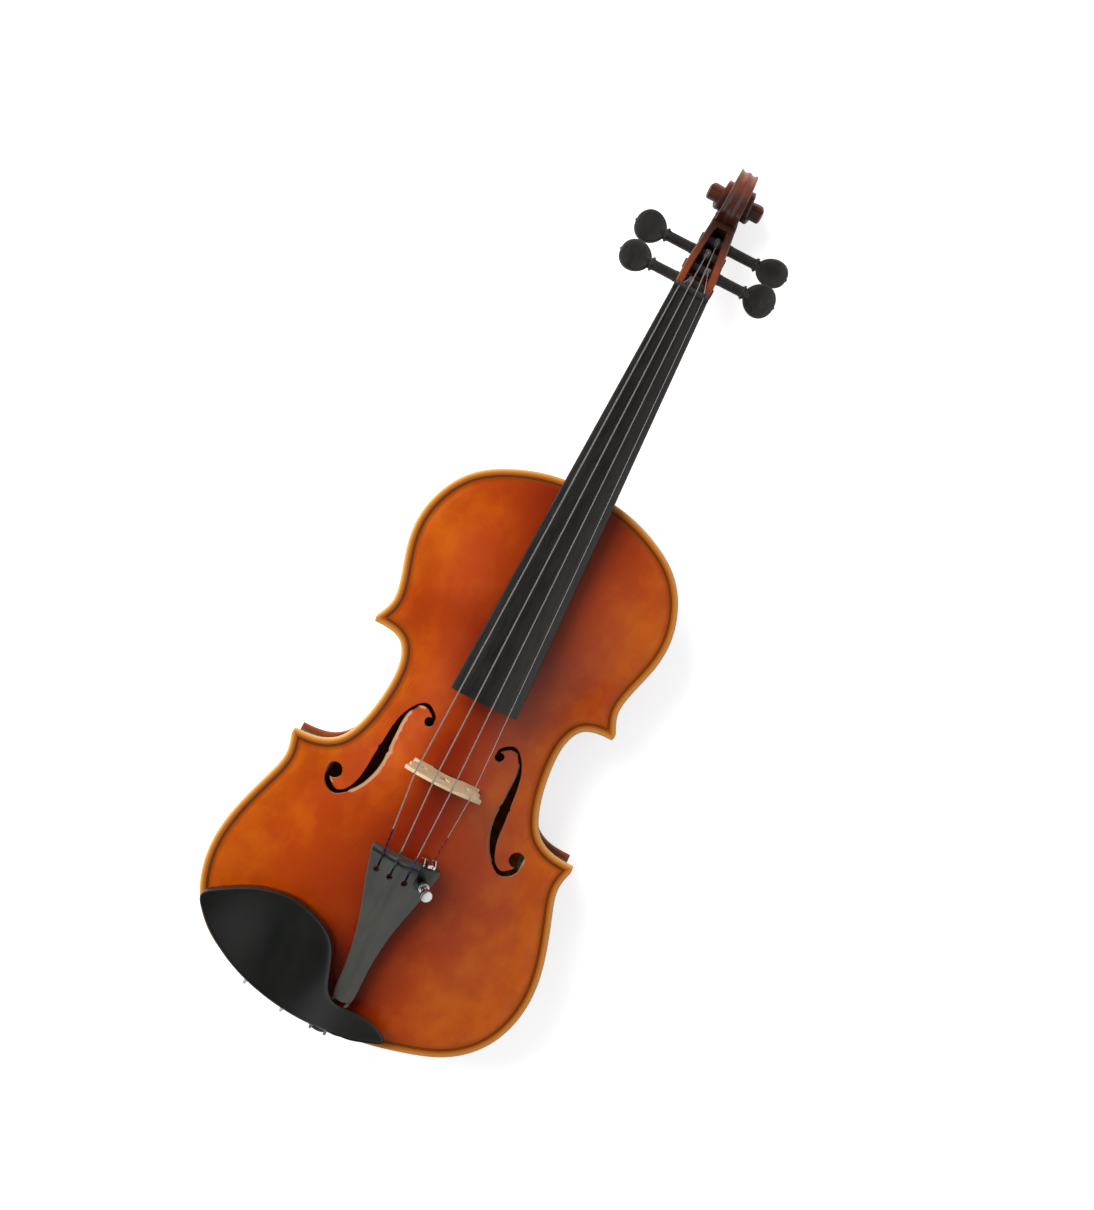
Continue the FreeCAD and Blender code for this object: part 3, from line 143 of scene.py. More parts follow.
def span(tree, value, from_low, from_high, to_low=0.0, to_high=1.0):
    """Stretches a value from one range to another and stops at its ends."""
    return add(tree, "ShaderNodeMapRange", inputs={0: value, 1: from_low, 2: from_high, 3: to_low, 4: to_high})


def blend(tree, share, one, two, how="MIX"):
    """Mixes two colours."""
    node = tree.nodes.new("ShaderNodeMix")
    node.data_type, node.blend_type = "RGBA", how
    for key, value in ((0, share), (6, one), (7, two)):
        if isinstance(value, bpy.types.NodeSocket):
            tree.links.new(value, node.inputs[key])
        else:
            node.inputs[key].default_value = value if key == 0 else (*value, 1.0)
    return node.outputs[2]


def ramp(tree, value, stops):
    """A colour ramp from (place, colour) stops."""
    node = tree.nodes.new("ShaderNodeValToRGB")
    tree.links.new(value, node.inputs[0])
    points = node.color_ramp.elements
    while len(points) < len(stops):
        points.new(0.5)
    for point, (place, colour) in zip(points, stops):
        point.position = place
        point.color = (*colour, 1.0)
    return node.outputs[0]


def stain(tree, colour, mask, strength, tint):
    """Darkens a colour by a tint where a mask says so."""
    return blend(tree, times(tree, mask, strength), colour, tint, "MULTIPLY")


print("node tools ready")

# %% [markdown]
# ## The studio
# A pale floor, one large soft lamp on the bass side and a dim room. The varnish shows what stands around it, so
# the room is darker on the bass side and paler on the treble side. The camera itself sees plain white.

# %% Floor, lamp and room
BLACK, WHITE, ROOM_GREY = (0.0, 0.0, 0.0), (1.0, 1.0, 1.0), (0.37, 0.37, 0.375)
FLOOR_GLOW = 0.68


def room():
    world = bpy.data.worlds.new("room")
    bpy.context.scene.world = world
    world.use_nodes = True
    tree = world.node_tree
    tree.nodes.clear()
    rays = tree.nodes.new("ShaderNodeLightPath").outputs
    across, _, up = xyz(tree, add(tree, "ShaderNodeTexCoord", "Generated"))
    side = span(tree, across, -0.02, 0.75, 0.06, 1.15)
    mirror = blend(tree, span(tree, up, 0.42, 0.18), ramp(tree, side, [(0.0, BLACK), (1.0, WHITE)]), WHITE)
    shiny = calc(tree, "MAXIMUM", rays["Is Glossy Ray"], rays["Is Transmission Ray"])
    colour = blend(tree, shiny, ROOM_GREY, mirror)
    colour = blend(tree, rays["Is Camera Ray"], colour, WHITE)
    back = add(tree, "ShaderNodeBackground", inputs={0: colour, 1: 1.0})
    tree.links.new(back, tree.nodes.new("ShaderNodeOutputWorld").inputs[0])


def floor():
    bpy.ops.mesh.primitive_plane_add(size=6.0, location=(0.0, 0.0, -0.0004))
    plane = bpy.context.object
    plane.name = "floor"
    paint = bpy.data.materials.new("floor_paint")
    paint.use_nodes = True
    tree = paint.node_tree
    shader = tree.nodes["Principled BSDF"]
    for key, value in (("Base Color", (0.82, 0.82, 0.82, 1.0)), ("Roughness", 0.9), ("Specular IOR Level", 0.0),
                       ("Emission Color", (1.0, 1.0, 1.0, 1.0))):
        shader.inputs[key].default_value = value
    seen = tree.nodes.new("ShaderNodeLightPath").outputs["Is Camera Ray"]
    tree.links.new(times(tree, seen, FLOOR_GLOW), shader.inputs["Emission Strength"])
    plane.data.materials.append(paint)


def lamp(name, place, size, power, glossy):
    light = placed(name, bpy.data.lights.new(name, "AREA"))
    light.data.shape = "DISK"
    light.data.size = size
    light.data.energy = power
    light.location = place
    light.rotation_euler = (Vector((0, 0, 0)) - Vector(place)).to_track_quat("-Z", "Y").to_euler()
    light.visible_glossy = glossy


room()
floor()
lamp("window", (-1.05, 0.35, 0.95), 1.4, 27.0, False)
print("studio set")

# %% [markdown]
# ## Smooth lines
# Outlines of a violin are drawn through a few stations with a flexible strip of wood. A natural cubic spline
# bends as such a strip does, so it is used for every outline here.

# %% A smooth line through stations
def through(points, count, closed=False):
    pts = [Vector(p) for p in points]
    if closed:
        pts = pts[-4:] + pts + pts[:5]
    n = len(pts)
    h = [(b - a).length for a, b in zip(pts, pts[1:])]
    t = [sum(h[:i]) for i in range(n)]
    bend = [Vector([0.0] * len(pts[0])) for _ in pts]
    c = [0.0] * n
    for i in range(1, n - 1):
        w = 2 * (h[i - 1] + h[i]) - h[i - 1] * c[i - 1]
        c[i] = h[i] / w
        change = (pts[i + 1] - pts[i]) / h[i] - (pts[i] - pts[i - 1]) / h[i - 1]
        bend[i] = (6 * change - h[i - 1] * bend[i - 1]) / w
    for i in range(n - 2, 0, -1):
        bend[i] = bend[i] - c[i] * bend[i + 1]
    first, last = (t[4], t[n - 5]) if closed else (0.0, t[-1])
    out, i = [], 0
    for k in range(count):
        s = first + (last - first) * k / (count if closed else count - 1)
        while i < n - 2 and s > t[i + 1]:
            i += 1
        b = (s - t[i]) / h[i]
        a = 1.0 - b
        curve = (a ** 3 - a) * bend[i] + (b ** 3 - b) * bend[i + 1]
        out.append(a * pts[i] + b * pts[i + 1] + curve * h[i] ** 2 / 6)
    return out


def moved_in(line, inset, closed=False):
    """The same flat line moved to its right-hand side."""
    out = []
    for i, p in enumerate(line):
        before = line[i - 1] if i or closed else p
        after = line[(i + 1) % len(line)] if i + 1 < len(line) or closed else p
        d = (after - before).normalized()
        out.append(Vector((p.x + d.y * inset, p.y - d.x * inset)))
    return out


def between(stations, x):
    """A smooth value between (x, value) stations in falling x."""
    if x >= stations[0][0]:
        return stations[0][1]
    for i, (a, b) in enumerate(zip(stations, stations[1:])):
        if x >= b[0]:
            t, w = (a[0] - x) / (a[0] - b[0]), a[0] - b[0]
            before, after = stations[max(i - 1, 0)], stations[min(i + 2, len(stations) - 1)]
            ma = (b[1] - before[1]) / (before[0] - b[0]) * w
            mb = (after[1] - a[1]) / (a[0] - after[0]) * w
            return ((2 * t ** 3 - 3 * t ** 2 + 1) * a[1] + (t ** 3 - 2 * t ** 2 + t) * ma
                    + (3 * t ** 2 - 2 * t ** 3) * b[1] + (t ** 3 - t ** 2) * mb)
    return stations[-1][1]


def eased_corner(a, b, c, bend, shares):
    """Points of the curve that takes the place of a corner at b."""
    one, two = a - b, c - b
    cut = min(bend, 0.45 * one.length, 0.45 * two.length)
    p, q = b + one.normalized() * cut, b + two.normalized() * cut
    return [(1 - t) ** 2 * p + 2 * t * (1 - t) * b + t * t * q for t in shares]


def both_sides(half):
    """Closes half an outline with its mirror image."""
    return half + [Vector((-p.x, p.y)) for p in half[-2:0:-1]]


print("line tools ready")

# %% [markdown]
# ## The outline of the body
# Upper bout, waist and lower bout are three curves that meet in sharp corners. An inset outline is each curve
# moved inwards and cut again where the moved curves cross, as a maker marks the purfling with a gauge.

# %% Bouts, corners and inset outlines
UPPER = [(0, 0), (26, -3.0), (43.5, -8.5), (54, -13.5), (64.2, -20.3), (73.0, -29.9), (80.2, -44.0),
         (83.7, -62), (82.0, -78.5), (78.5, -91), (75.3, -103), (74.7, -111), (79, -122.6)]
WAIST = [(78.4, -127.0), (69, -127.4), (60.7, -130.4), (55.6, -138.5), (53.9, -152), (55.3, -168),
         (59.9, -186), (66.6, -196.8), (77, -202.2), (91.6, -203.4)]
LOWER = [(91.8, -208.8), (89.8, -218.0), (92.9, -233.0), (100.7, -257.0), (104.8, -281.0), (102.1, -303.2),
         (93.2, -321.4), (76.8, -336.0), (50, -346.0), (25, -351.2), (0, -352.5)]
BOUTS = [through(UPPER, 70), through(WAIST, 60), through(LOWER, 76)]


def crossing(a, b, c, d):
    den = (b - a).cross(d - c)
    if abs(den) < 1e-12:
        return None
    s, t = (c - a).cross(d - c) / den, (c - a).cross(b - a) / den
    return a + s * (b - a) if 0 <= s <= 1 and 0 <= t <= 1 else None


def to_corner(first, second):
    """Carries two lines on, and cuts both where they cross."""
    one = first + [first[-1] + (first[-1] - first[-2]).normalized() * 9.0]
    two = [second[0] + (second[0] - second[1]).normalized() * 9.0] + second
    for i in range(len(one) - 2, len(one) // 2, -1):
        for j in range(len(two) // 2):
            hit = crossing(one[i], one[i + 1], two[j], two[j + 1])
            if hit:
                return one[:i + 1] + [hit], [hit] + two[j + 1:]
    return first, second


def bouts_at(inset):
    """The three curves at an inset, cut where they meet."""
    upper, waist, lower = (moved_in(b, inset) for b in BOUTS)
    upper, waist = to_corner(upper, waist)
    waist, lower = to_corner(waist, lower)
    return upper, waist, lower


def outline(inset):
    """The closed outline of the body at an inset, from the top centre down the treble side and back."""
    half = sum(bouts_at(inset) if inset > 0 else BOUTS, [])
    half[0], half[-1] = Vector((0.0, half[0].y)), Vector((0.0, half[-1].y))
    kept = [half[0]]
    for p in half[1:-1]:
        if (p - kept[-1]).length > 0.35:
            kept.append(p)
    kept.append(half[-1])
    return both_sides(kept)


print("points on the outline:", len(outline(0.0)))

# %% [markdown]
# ## Plates
# Belly, back, chin rest, tailpiece and bridge are all plates: a flat outline, perhaps with holes, whose two
# faces rise and fall. A constrained triangulation keeps every outline and hole exact and fills the rest with
# an even net, then both faces are lifted and walls join their edges.

# %% Rounded edges and regions
def held(value):
    """A value kept between 0 and 1."""
    return min(1.0, max(0.0, value))


def rounding(d, r):
    """How far an edge rounded to a radius r has fallen at an inset d, as a share of r."""
    return 1.0 - math.sqrt(max(0.0, 1.0 - max(0.0, 1.0 - d / r) ** 2))


def region(polygon):
    """A quick test for lying inside a closed line."""
    rows = {}
    for a, b in zip(polygon, polygon[1:] + polygon[:1]):
        for k in range(int(min(a[1], b[1]) // 2), int(max(a[1], b[1]) // 2) + 1):
            rows.setdefault(k, []).append((a, b))

    def inside(x, y):
        hit = False
        for a, b in rows.get(int(y // 2), ()):
            if (a[1] > y) != (b[1] > y) and x < (b[0] - a[0]) * (y - a[1]) / (b[1] - a[1]) + a[0]:
                hit = not hit
        return hit
    return inside


print("fall of a 2 mm edge at 1 mm: %.2f mm" % (2.0 * rounding(1.0, 2.0)))

# %% A plate from outlines
def tree_of_points(points):
    """A quick search for the nearest of some flat points."""
    tree = KDTree(len(points))
    for i, p in enumerate(points):
        tree.insert((p[0], p[1], 0.0), i)
    tree.balance()
    return tree


def middle_of(points):
    return sum(points, Vector((0, 0))) / len(points)


def plate(rings, holes, top, low, step, where=at, creases=()):
    """Vertices, faces, wall flags and (x, y, inset) of a plate. rings are (closed line, inset), outermost first."""
    flat, edges, depth = [], [], []
    for line, inset in rings + [(hole, None) for hole in holes]:
        start, n = len(flat), len(line)
        flat += [Vector((p[0], p[1])) for p in line]
        depth += [inset] * n
        edges += [(start + i, start + (i + 1) % n) for i in range(n)]
    for line in creases:
        edges += [(len(flat) + i, len(flat) + i + 1) for i in range(len(line) - 1)]
        flat += [Vector((p[0], p[1])) for p in line]
        depth += [None] * len(line)
    near, rim = tree_of_points(flat), tree_of_points(rings[0][0])
    body, inner = region(rings[0][0]), region(rings[-1][0])
    gaps = [region(hole) for hole in holes]
    xs, ys = [p.x for p in flat], [p.y for p in flat]
    for j in range(int((max(ys) - min(ys)) / (step * 0.866)) + 1):
        y = min(ys) + (j + 0.5) * step * 0.866
        for i in range(int((max(xs) - min(xs)) / step) + 1):
            x = min(xs) + (i + 0.25 + 0.5 * (j % 2)) * step
            if inner(x, y) and near.find((x, y, 0.0))[2] > 0.55 * step:
                flat.append(Vector((x, y)))
                depth.append(None)
    points, _, tris, source, _, _ = delaunay_2d_cdt(flat, edges, [], 0, 1e-5)
    centres = [middle_of([points[i] for i in t]) for t in tris]
    tris = [t for t, c in zip(tris, centres) if body(*c) and not any(gap(*c) for gap in gaps)]
    used = sorted({i for t in tris for i in t})
    index = {v: k for k, v in enumerate(used)}
    spots = []
    for v in used:
        known = [depth[s] for s in source[v] if depth[s] is not None]
        x, y = points[v]
        spots.append((x, y, known[0] if known else rim.find((x, y, 0.0))[2]))
    n = len(spots)
    verts = [where(x, y, top(x, y, d)) for x, y, d in spots] + [where(x, y, low(x, y, d)) for x, y, d in spots]
    faces, walls, rimmed = [], [], {}
    for t in tris:
        a, b, c = (index[i] for i in t)
        if (Vector(spots[b][:2]) - Vector(spots[a][:2])).cross(Vector(spots[c][:2]) - Vector(spots[a][:2])) < 0:
            b, c = c, b
        faces += [(a, b, c), (c + n, b + n, a + n)]
        walls += [0, 0]
        for e in ((a, b), (b, c), (c, a)):
            if (e[1], e[0]) in rimmed:
                del rimmed[(e[1], e[0])]
            else:
                rimmed[e] = True
    for a, b in rimmed:
        faces.append((b, a, a + n, b + n))
        walls.append(0 if spots[a][2] == 0.0 and spots[b][2] == 0.0 else 1)
    return verts, faces, walls, spots


# %% Turn points and faces into a named piece
def mesh_of(name, verts, faces, values=None):
    """A mesh from points and faces, with named values stored on its points."""
    mesh = bpy.data.meshes.new(name)
    mesh.from_pydata([tuple(v) for v in verts], [], faces)
    for key, numbers in (values or {}).items():
        mesh.attributes.new(key, "FLOAT", "POINT").data.foreach_set("value", numbers)
    return mesh


def settle(mesh, sharp):
    """Turns the faces outwards and shades them smooth, but keeps edges above an angle sharp."""
    soft = bmesh.new()
    soft.from_mesh(mesh)
    bmesh.ops.recalc_face_normals(soft, faces=soft.faces)
    soft.to_mesh(mesh)
    soft.free()
    mesh.shade_smooth()
    mesh.set_sharp_from_angle(angle=math.radians(sharp))


def shaped(name, verts, faces, finish, sharp=38.0, values=None, second=None):
    """A mesh object with its finish; second is another finish and, for each face, 1 where it goes."""
    mesh = mesh_of(name, verts, faces, values)
    mesh.materials.append(finish)
    if second:
        mesh.materials.append(second[0])
        mesh.polygons.foreach_set("material_index", second[1])
    settle(mesh, sharp)
    return placed(name, mesh)


def plain(made):
    """Keeps what the modifiers make of an object as its mesh, and clears them."""
    bpy.context.view_layer.update()
    result = bpy.data.meshes.new_from_object(made.evaluated_get(bpy.context.evaluated_depsgraph_get()))
    made.modifiers.clear()
    made.data = result
    return made


def ready(made, stands_for=(), body=BODY):
    """Gives an object its body, in place of the CAD nodes that it stands for."""
    if stands_for:
        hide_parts(*([stands_for] if isinstance(stands_for, str) else stands_for))
    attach(made, body)
    return made


def piece(name, verts, faces, finish, slot, stands_for=(), body=BODY, **ways):
    """A shape with its finish, ready on its body."""
    return ready(shaped(name, verts, faces, finish, **ways), stands_for, body)


print("plate and piece tools ready")

# %% [markdown]
# ## Wood under varnish
# Spruce shows fine straight year lines, close together at the centre. Maple shows curls of light across the
# grain. Both are drawn by bending a wave with noise, so each is a node group that the varnishes share. The
# varnish itself is a clear coat over a warm colour, and its surface has faint unevenness from the brush.

# %% Grain, flame and surface groups
def group(name, inputs, outputs):
    tree = bpy.data.node_groups.new(name, "ShaderNodeTree")
    for label, value in inputs:
        tree.interface.new_socket(label, in_out="INPUT", socket_type="NodeSocketFloat").default_value = value
    for label in outputs:
        tree.interface.new_socket(label, in_out="OUTPUT", socket_type="NodeSocketFloat")
    return tree, tree.nodes.new("NodeGroupInput").outputs, tree.nodes.new("NodeGroupOutput").inputs


def object_place(tree, scale=(1.0, 1.0, 1.0), turn=(0.0, 0.0, 0.0)):
    place = add(tree, "ShaderNodeTexCoord", "Object")
    return add(tree, "ShaderNodeMapping", inputs={"Vector": place, "Scale": scale, "Rotation": turn})


def speckle(tree, place, scale, detail=3.0, rough=0.55, out="Fac"):
    inputs = {"Vector": place, "Scale": scale, "Detail": detail, "Roughness": rough}
    return add(tree, "ShaderNodeTexNoise", out, inputs)


def grain_group():
    """Year lines along Y, with Lines to a metre."""
    tree, into, out = group("year_lines", [("Lines", 850.0), ("Waver", 0.0012)], ["Line", "Fleck"])
    x = xyz(tree, add(tree, "ShaderNodeTexCoord", "Object"))[0]
    slow = speckle(tree, object_place(tree, (1.0, 0.16, 1.0)), 26.0, 2.0)
    shift = times(tree, calc(tree, "SUBTRACT", slow, 0.5), times(tree, into["Waver"], 14.0))
    across = calc(tree, "ADD", calc(tree, "ABSOLUTE", x), shift)
    phase = calc(tree, "FRACT", times(tree, across, into["Lines"]))
    late = span(tree, phase, 0.55, 0.97)
    early = span(tree, phase, 0.0, 0.06, 1.0, 0.0)
    tree.links.new(calc(tree, "MAXIMUM", late, early), out["Line"])
    dots = speckle(tree, object_place(tree, (1.0, 0.05, 1.0)), 900.0, 2.0, 0.6)
    tree.links.new(span(tree, dots, 0.58, 0.75), out["Fleck"])
    return tree


def flame_group():
    """Curls of maple across the grain, with Curls to a metre."""
    tree, into, out = group("maple_flame", [("Curls", 110.0), ("Slope", 0.25)], ["Curl", "Pore"])
    x, y, _ = xyz(tree, add(tree, "ShaderNodeTexCoord", "Object"))
    drift = speckle(tree, object_place(tree, (1.0, 0.5, 1.0)), 22.0, 2.0)
    slant = times(tree, calc(tree, "ABSOLUTE", x), into["Slope"])
    along = calc(tree, "ADD", calc(tree, "ADD", y, slant), times(tree, drift, 0.03))
    wave = calc(tree, "SINE", times(tree, times(tree, along, into["Curls"]), 6.2832))
    patch = speckle(tree, object_place(tree, (1.0, 0.35, 1.0)), 60.0, 2.0)
    curl = times(tree, calc(tree, "MULTIPLY_ADD", wave, 0.5, 0.5), span(tree, patch, 0.3, 0.65, 0.25, 1.0))
    tree.links.new(curl, out["Curl"])
    fine = speckle(tree, object_place(tree, (1.0, 0.06, 1.0)), 1400.0, 2.0, 0.6)
    tree.links.new(span(tree, fine, 0.55, 0.8), out["Pore"])
    return tree


def touch_group():
    """The small unevenness of a handled surface: a height and a roughness change."""
    tree, into, out = group("touch", [("Size", 160.0), ("Depth", 0.5)], ["Height", "Dull"])
    place = object_place(tree)
    broad = add(tree, "ShaderNodeTexNoise", inputs={"Vector": place, "Scale": into["Size"], "Detail": 3.0})
    fine = speckle(tree, place, 2600.0, 2.0)
    tree.links.new(calc(tree, "MULTIPLY_ADD", times(tree, broad, into["Depth"]), 1.0,
                        times(tree, fine, 0.12)), out["Height"])
    tree.links.new(speckle(tree, place, 45.0, 5.0, 0.65), out["Dull"])
    return tree


YEAR_LINES, FLAME, TOUCH = grain_group(), flame_group(), touch_group()


def use(tree, made, **values):
    """Places a group in a material with its own values."""
    node = tree.nodes.new("ShaderNodeGroup")
    node.node_tree = made
    for key, value in values.items():
        node.inputs[key].default_value = value
    return node.outputs


def finish(name, rough=0.4, coat=0.0, coat_rough=0.1, metal=0.0, shine=0.5, size=160.0, dull=0.12, bump=0.05):
    """A material with the touch group on its roughness and bump. Returns (material, tree, shader, bump node)."""
    made = bpy.data.materials.new(name)
    made.use_nodes = True
    tree = made.node_tree
    shader = tree.nodes["Principled BSDF"]
    for key, value in (("Metallic", metal), ("Specular IOR Level", shine), ("Coat Weight", coat),
                       ("Coat Roughness", coat_rough)):
        shader.inputs[key].default_value = value
    touch = use(tree, TOUCH, Size=size, Depth=0.5)
    tree.links.new(span(tree, touch["Dull"], 0.3, 0.7, max(rough - dull, 0.03), rough + dull),
                   shader.inputs["Roughness"])
    node = tree.nodes.new("ShaderNodeBump")
    node.inputs["Strength"].default_value = bump
    node.inputs["Distance"].default_value = 0.001
    tree.links.new(touch["Height"], node.inputs["Height"])
    tree.links.new(node.outputs[0], shader.inputs["Normal"])
    return made, tree, shader, node


def paint(tree, shader, colour):
    if isinstance(colour, bpy.types.NodeSocket):
        tree.links.new(colour, shader.inputs["Base Color"])
    else:
        shader.inputs["Base Color"].default_value = (*colour, 1.0)


print("wood groups:", [g.name for g in (YEAR_LINES, FLAME, TOUCH)])

# %% Varnished belly
GOLD, AMBER, RED = (0.55, 0.100, 0.002), (0.43, 0.052, 0.0015), (0.230, 0.015, 0.001)


def belly_varnish():
    """Golden at the flanks and red along the middle, mottled and worn at the edge; the cut rim of the bass sound
    hole is painted pale, as bare wood with painted light on it.
    """
    made, tree, shader, _ = finish("belly_varnish", 0.42, coat=0.5, coat_rough=0.16, shine=0.08, size=120.0,
                                   bump=0.06)
    tone, edge, rim = (painted(tree, name) for name in ("tone", "edge", "rim"))
    cloud = speckle(tree, object_place(tree, (1.0, 0.4, 1.0)), 30.0, 3.0)
    depth = calc(tree, "ADD", tone, times(tree, calc(tree, "SUBTRACT", cloud, 0.5), 0.42))
    colour = ramp(tree, depth, [(0.0, GOLD), (0.38, AMBER), (1.0, RED)])
    patch = speckle(tree, object_place(tree, (1.0, 0.8, 1.0)), 60.0, 4.0)
    flanks = span(tree, tone, 0.15, 0.75, 1.0, 0.15)
    pale = times(tree, flanks, span(tree, patch, 0.48, 0.68, 0.0, 0.42))
    deep = times(tree, flanks, span(tree, patch, 0.50, 0.34, 0.0, 0.30))
    colour = blend(tree, pale, colour, (0.62, 0.145, 0.002))
    colour = blend(tree, deep, colour, (0.30, 0.030, 0.001))
    lines = use(tree, YEAR_LINES, Lines=820.0)
    colour = stain(tree, colour, lines["Line"], 0.34, (0.62, 0.42, 0.30))
    colour = stain(tree, colour, lines["Fleck"], 0.25, (0.70, 0.55, 0.40))
    worn = ramp(tree, edge, [(0.0, (0.80, 0.52, 0.22)), (0.10, (0.66, 0.27, 0.05)), (0.24, (0.45, 0.12, 0.009)),
                             (0.36, (0.27, 0.050, 0.001))])
    colour = blend(tree, span(tree, edge, 0.40, 0.66, 1.0, 0.0), colour, worn)
    # Painted light: the rim of the bass sound hole is painted pale, as bare wood lit by the lamp on the bass side.
    colour = blend(tree, span(tree, rim, 0.62, 0.98, 0.0, 0.75), colour, (0.74, 0.38, 0.22))
    paint(tree, shader, colour)
    return made


def maple_varnish(name="maple_varnish", flame=0.45, red=0.0, painted_shade=()):
    """Flamed maple; painted_shade gives four places along the body where a painted shade starts, is darkest, starts
    to clear and is clear.
    """
    made, tree, shader, _ = finish(name, 0.40, coat=0.7, coat_rough=0.14, shine=0.3, size=130.0, bump=0.06)
    curl = use(tree, FLAME, Curls=105.0)
    cloud = speckle(tree, object_place(tree, (1.0, 0.4, 1.0)), 34.0, 3.0)
    warm = tuple(a + (b - a) * red for a, b in zip((0.47, 0.115, 0.014), (0.33, 0.062, 0.012)))
    deep = tuple(a + (b - a) * red for a, b in zip((0.27, 0.040, 0.006), (0.16, 0.030, 0.010)))
    share = calc(tree, "MULTIPLY_ADD", curl["Curl"], flame, times(tree, cloud, 0.5))
    colour = ramp(tree, share, [(0.12, deep), (0.72, warm)])
    colour = stain(tree, colour, curl["Pore"], 0.3, (0.55, 0.40, 0.30))
    if painted_shade:
        along = xyz(tree, object_place(tree))[1]
        start, dark, still, end = ((y + ROW_Y) * MM for y in painted_shade)
        share = times(tree, span(tree, along, start, dark), span(tree, along, still, end, 1.0, 0.0))
        # Painted shade: the colour is blended towards near black over that stretch of the body.
        colour = blend(tree, times(tree, share, 0.9), colour, (0.030, 0.012, 0.009))
    paint(tree, shader, colour)
    return made


def bare_wood(name, light, dark, fleck=0.35):
    made, tree, shader, _ = finish(name, 0.55, shine=0.3, size=300.0, bump=0.08)
    pores = use(tree, FLAME, Curls=60.0)
    lines = use(tree, YEAR_LINES, Lines=900.0)
    cloud = speckle(tree, object_place(tree), 90.0, 4.0)
    colour = ramp(tree, cloud, [(0.25, dark), (0.7, light)])
    colour = stain(tree, colour, pores["Pore"], fleck, (0.5, 0.38, 0.26))
    colour = stain(tree, colour, lines["Line"], fleck * 0.6, (0.7, 0.55, 0.4))
    paint(tree, shader, colour)
    return made


BELLY_VARNISH = belly_varnish()
MAPLE_VARNISH = maple_varnish()
# Neck and scroll varnish with painted shade: near black from 176 to 197 mm, at the throat under the scroll and the
# pegbox walls there.
HEAD_VARNISH_WITH_SHADE = maple_varnish("head_varnish_with_throat_shade", 0.2, 1.0, (150.0, 176.0, 197.0, 214.0))
# Rib varnish with painted shadow: darkened almost to black along the whole ribs, for the shade under the overhanging
# plates.
RIB_VARNISH_WITH_SHADOW = maple_varnish("rib_varnish_painted_shadow", 0.3, 1.0, (-400.0, -399.0, 10.0, 20.0))
SPRUCE_RAW = bare_wood("spruce_raw", (0.72, 0.55, 0.34), (0.60, 0.42, 0.24))
CUT_SPRUCE = bare_wood("cut_spruce", (0.50, 0.31, 0.19), (0.40, 0.23, 0.13))
BRIDGE_MAPLE = bare_wood("bridge_maple", (0.74, 0.58, 0.38), (0.62, 0.46, 0.28), 0.5)
print("varnishes ready")

# %% [markdown]
# ## The arching
# The long arch is a stretched cosine that stays full and falls only near the ends; the cross arch is another,
# as wide as its place on the body. At the edge the plate is rounded, and just inside it dips to a channel.

# %% Belly and back
LENGTH = 352.5
TAIL_Y = -LENGTH
BRIDGE_Y = -190.0
TURNED = 61.0                          # a height in the belly and its match in the back add up to this
ARCH_HALF = [(0, 44), (-15, 54), (-30, 64), (-62, 76), (-90, 70), (-115, 55), (-151, 46.5), (-187, 54), (-215, 72),
             (-250, 91), (-281, 97), (-310, 90), (-335, 72), (-356, 56)]
INSETS = (0.0, 0.3, 0.9, 1.8, 2.9, 4.0, 5.2, 6.6, 8.2, 10.4)


def arch(x, y):
    """The share of the full arching height at a place."""
    u = abs(y + LENGTH / 2) / (LENGTH / 2 - 7.0)
    t = abs(x) / between(ARCH_HALF, y)
    if u >= 1.0 or t >= 1.0:
        return 0.0
    return (0.5 + 0.5 * math.cos(math.pi * u ** 2.6)) * (0.5 + 0.5 * math.cos(math.pi * t ** 1.25))


def edge_shape(d):
    """Height of the plate against its flat level, at an inset: rounded rim, then the channel."""
    channel = -0.75 * math.exp(-((d - 6.2) / 2.6) ** 2)
    return -2.0 * rounding(d, 2.0) + channel * min(1.0, d / 3.0)


def belly_top(x, y, d=99.0):
    return 50.0 + 11.0 * arch(x, y) + edge_shape(d)


def belly_low(x, y, d=99.0):
    if d < 8.5:
        return 46.0 + 2.0 * rounding(d, 1.2)
    return 47.0 + 11.0 * arch(x, y)


STEM = [(22.0, -164.4, 1.0), (21.2, -162.4, 1.2), (24.0, -158.9, 1.3), (28.3, -156.9, 0.9), (32.4, -158.8, 1.4),
        (35.6, -163.2, 2.2), (37.8, -170.0, 2.8), (38.7, -178.0, 3.1), (39.1, -190.0, 3.5), (39.9, -202.8, 3.9),
        (41.8, -211.5, 3.7), (45.8, -219.4, 3.0), (50.0, -223.7, 2.0), (54.0, -225.6, 1.1), (58.3, -224.2, 1.7),
        (61.6, -220.0, 2.1), (62.2, -217.0, 1.9)]                        # x, y and half width
EYES = [(23.0, -164.8, 2.9), (59.8, -215.0, 4.8)]                        # x, y and radius


def sound_hole(side):
    """Stem and two eyes of one sound hole, as three closed lines. The stem has a small nick at its middle."""
    last, nick = 60, 29
    middle = through([(x, y) for x, y, w in STEM], last + 1)
    widths = through([(i, w) for i, (x, y, w) in enumerate(STEM)], last + 1)
    left, right = [], []
    for i, p in enumerate(middle):
        d = (middle[min(i + 1, last)] - middle[max(i - 1, 0)]).normalized()
        w = widths[i].y * (1.2 if i == nick else 1.0)
        left.append(Vector((p.x - d.y * w, p.y + d.x * w)))
        right.append(Vector((p.x + d.y * w, p.y - d.x * w)))
    lines = [left + right[::-1]]
    turns = [a * math.pi / 16 for a in range(32)]
    lines += [[Vector((x + r * math.cos(a), y + r * math.sin(a))) for a in turns] for x, y, r in EYES]
    return [[Vector((side * p.x, p.y)) for p in line] for line in lines]


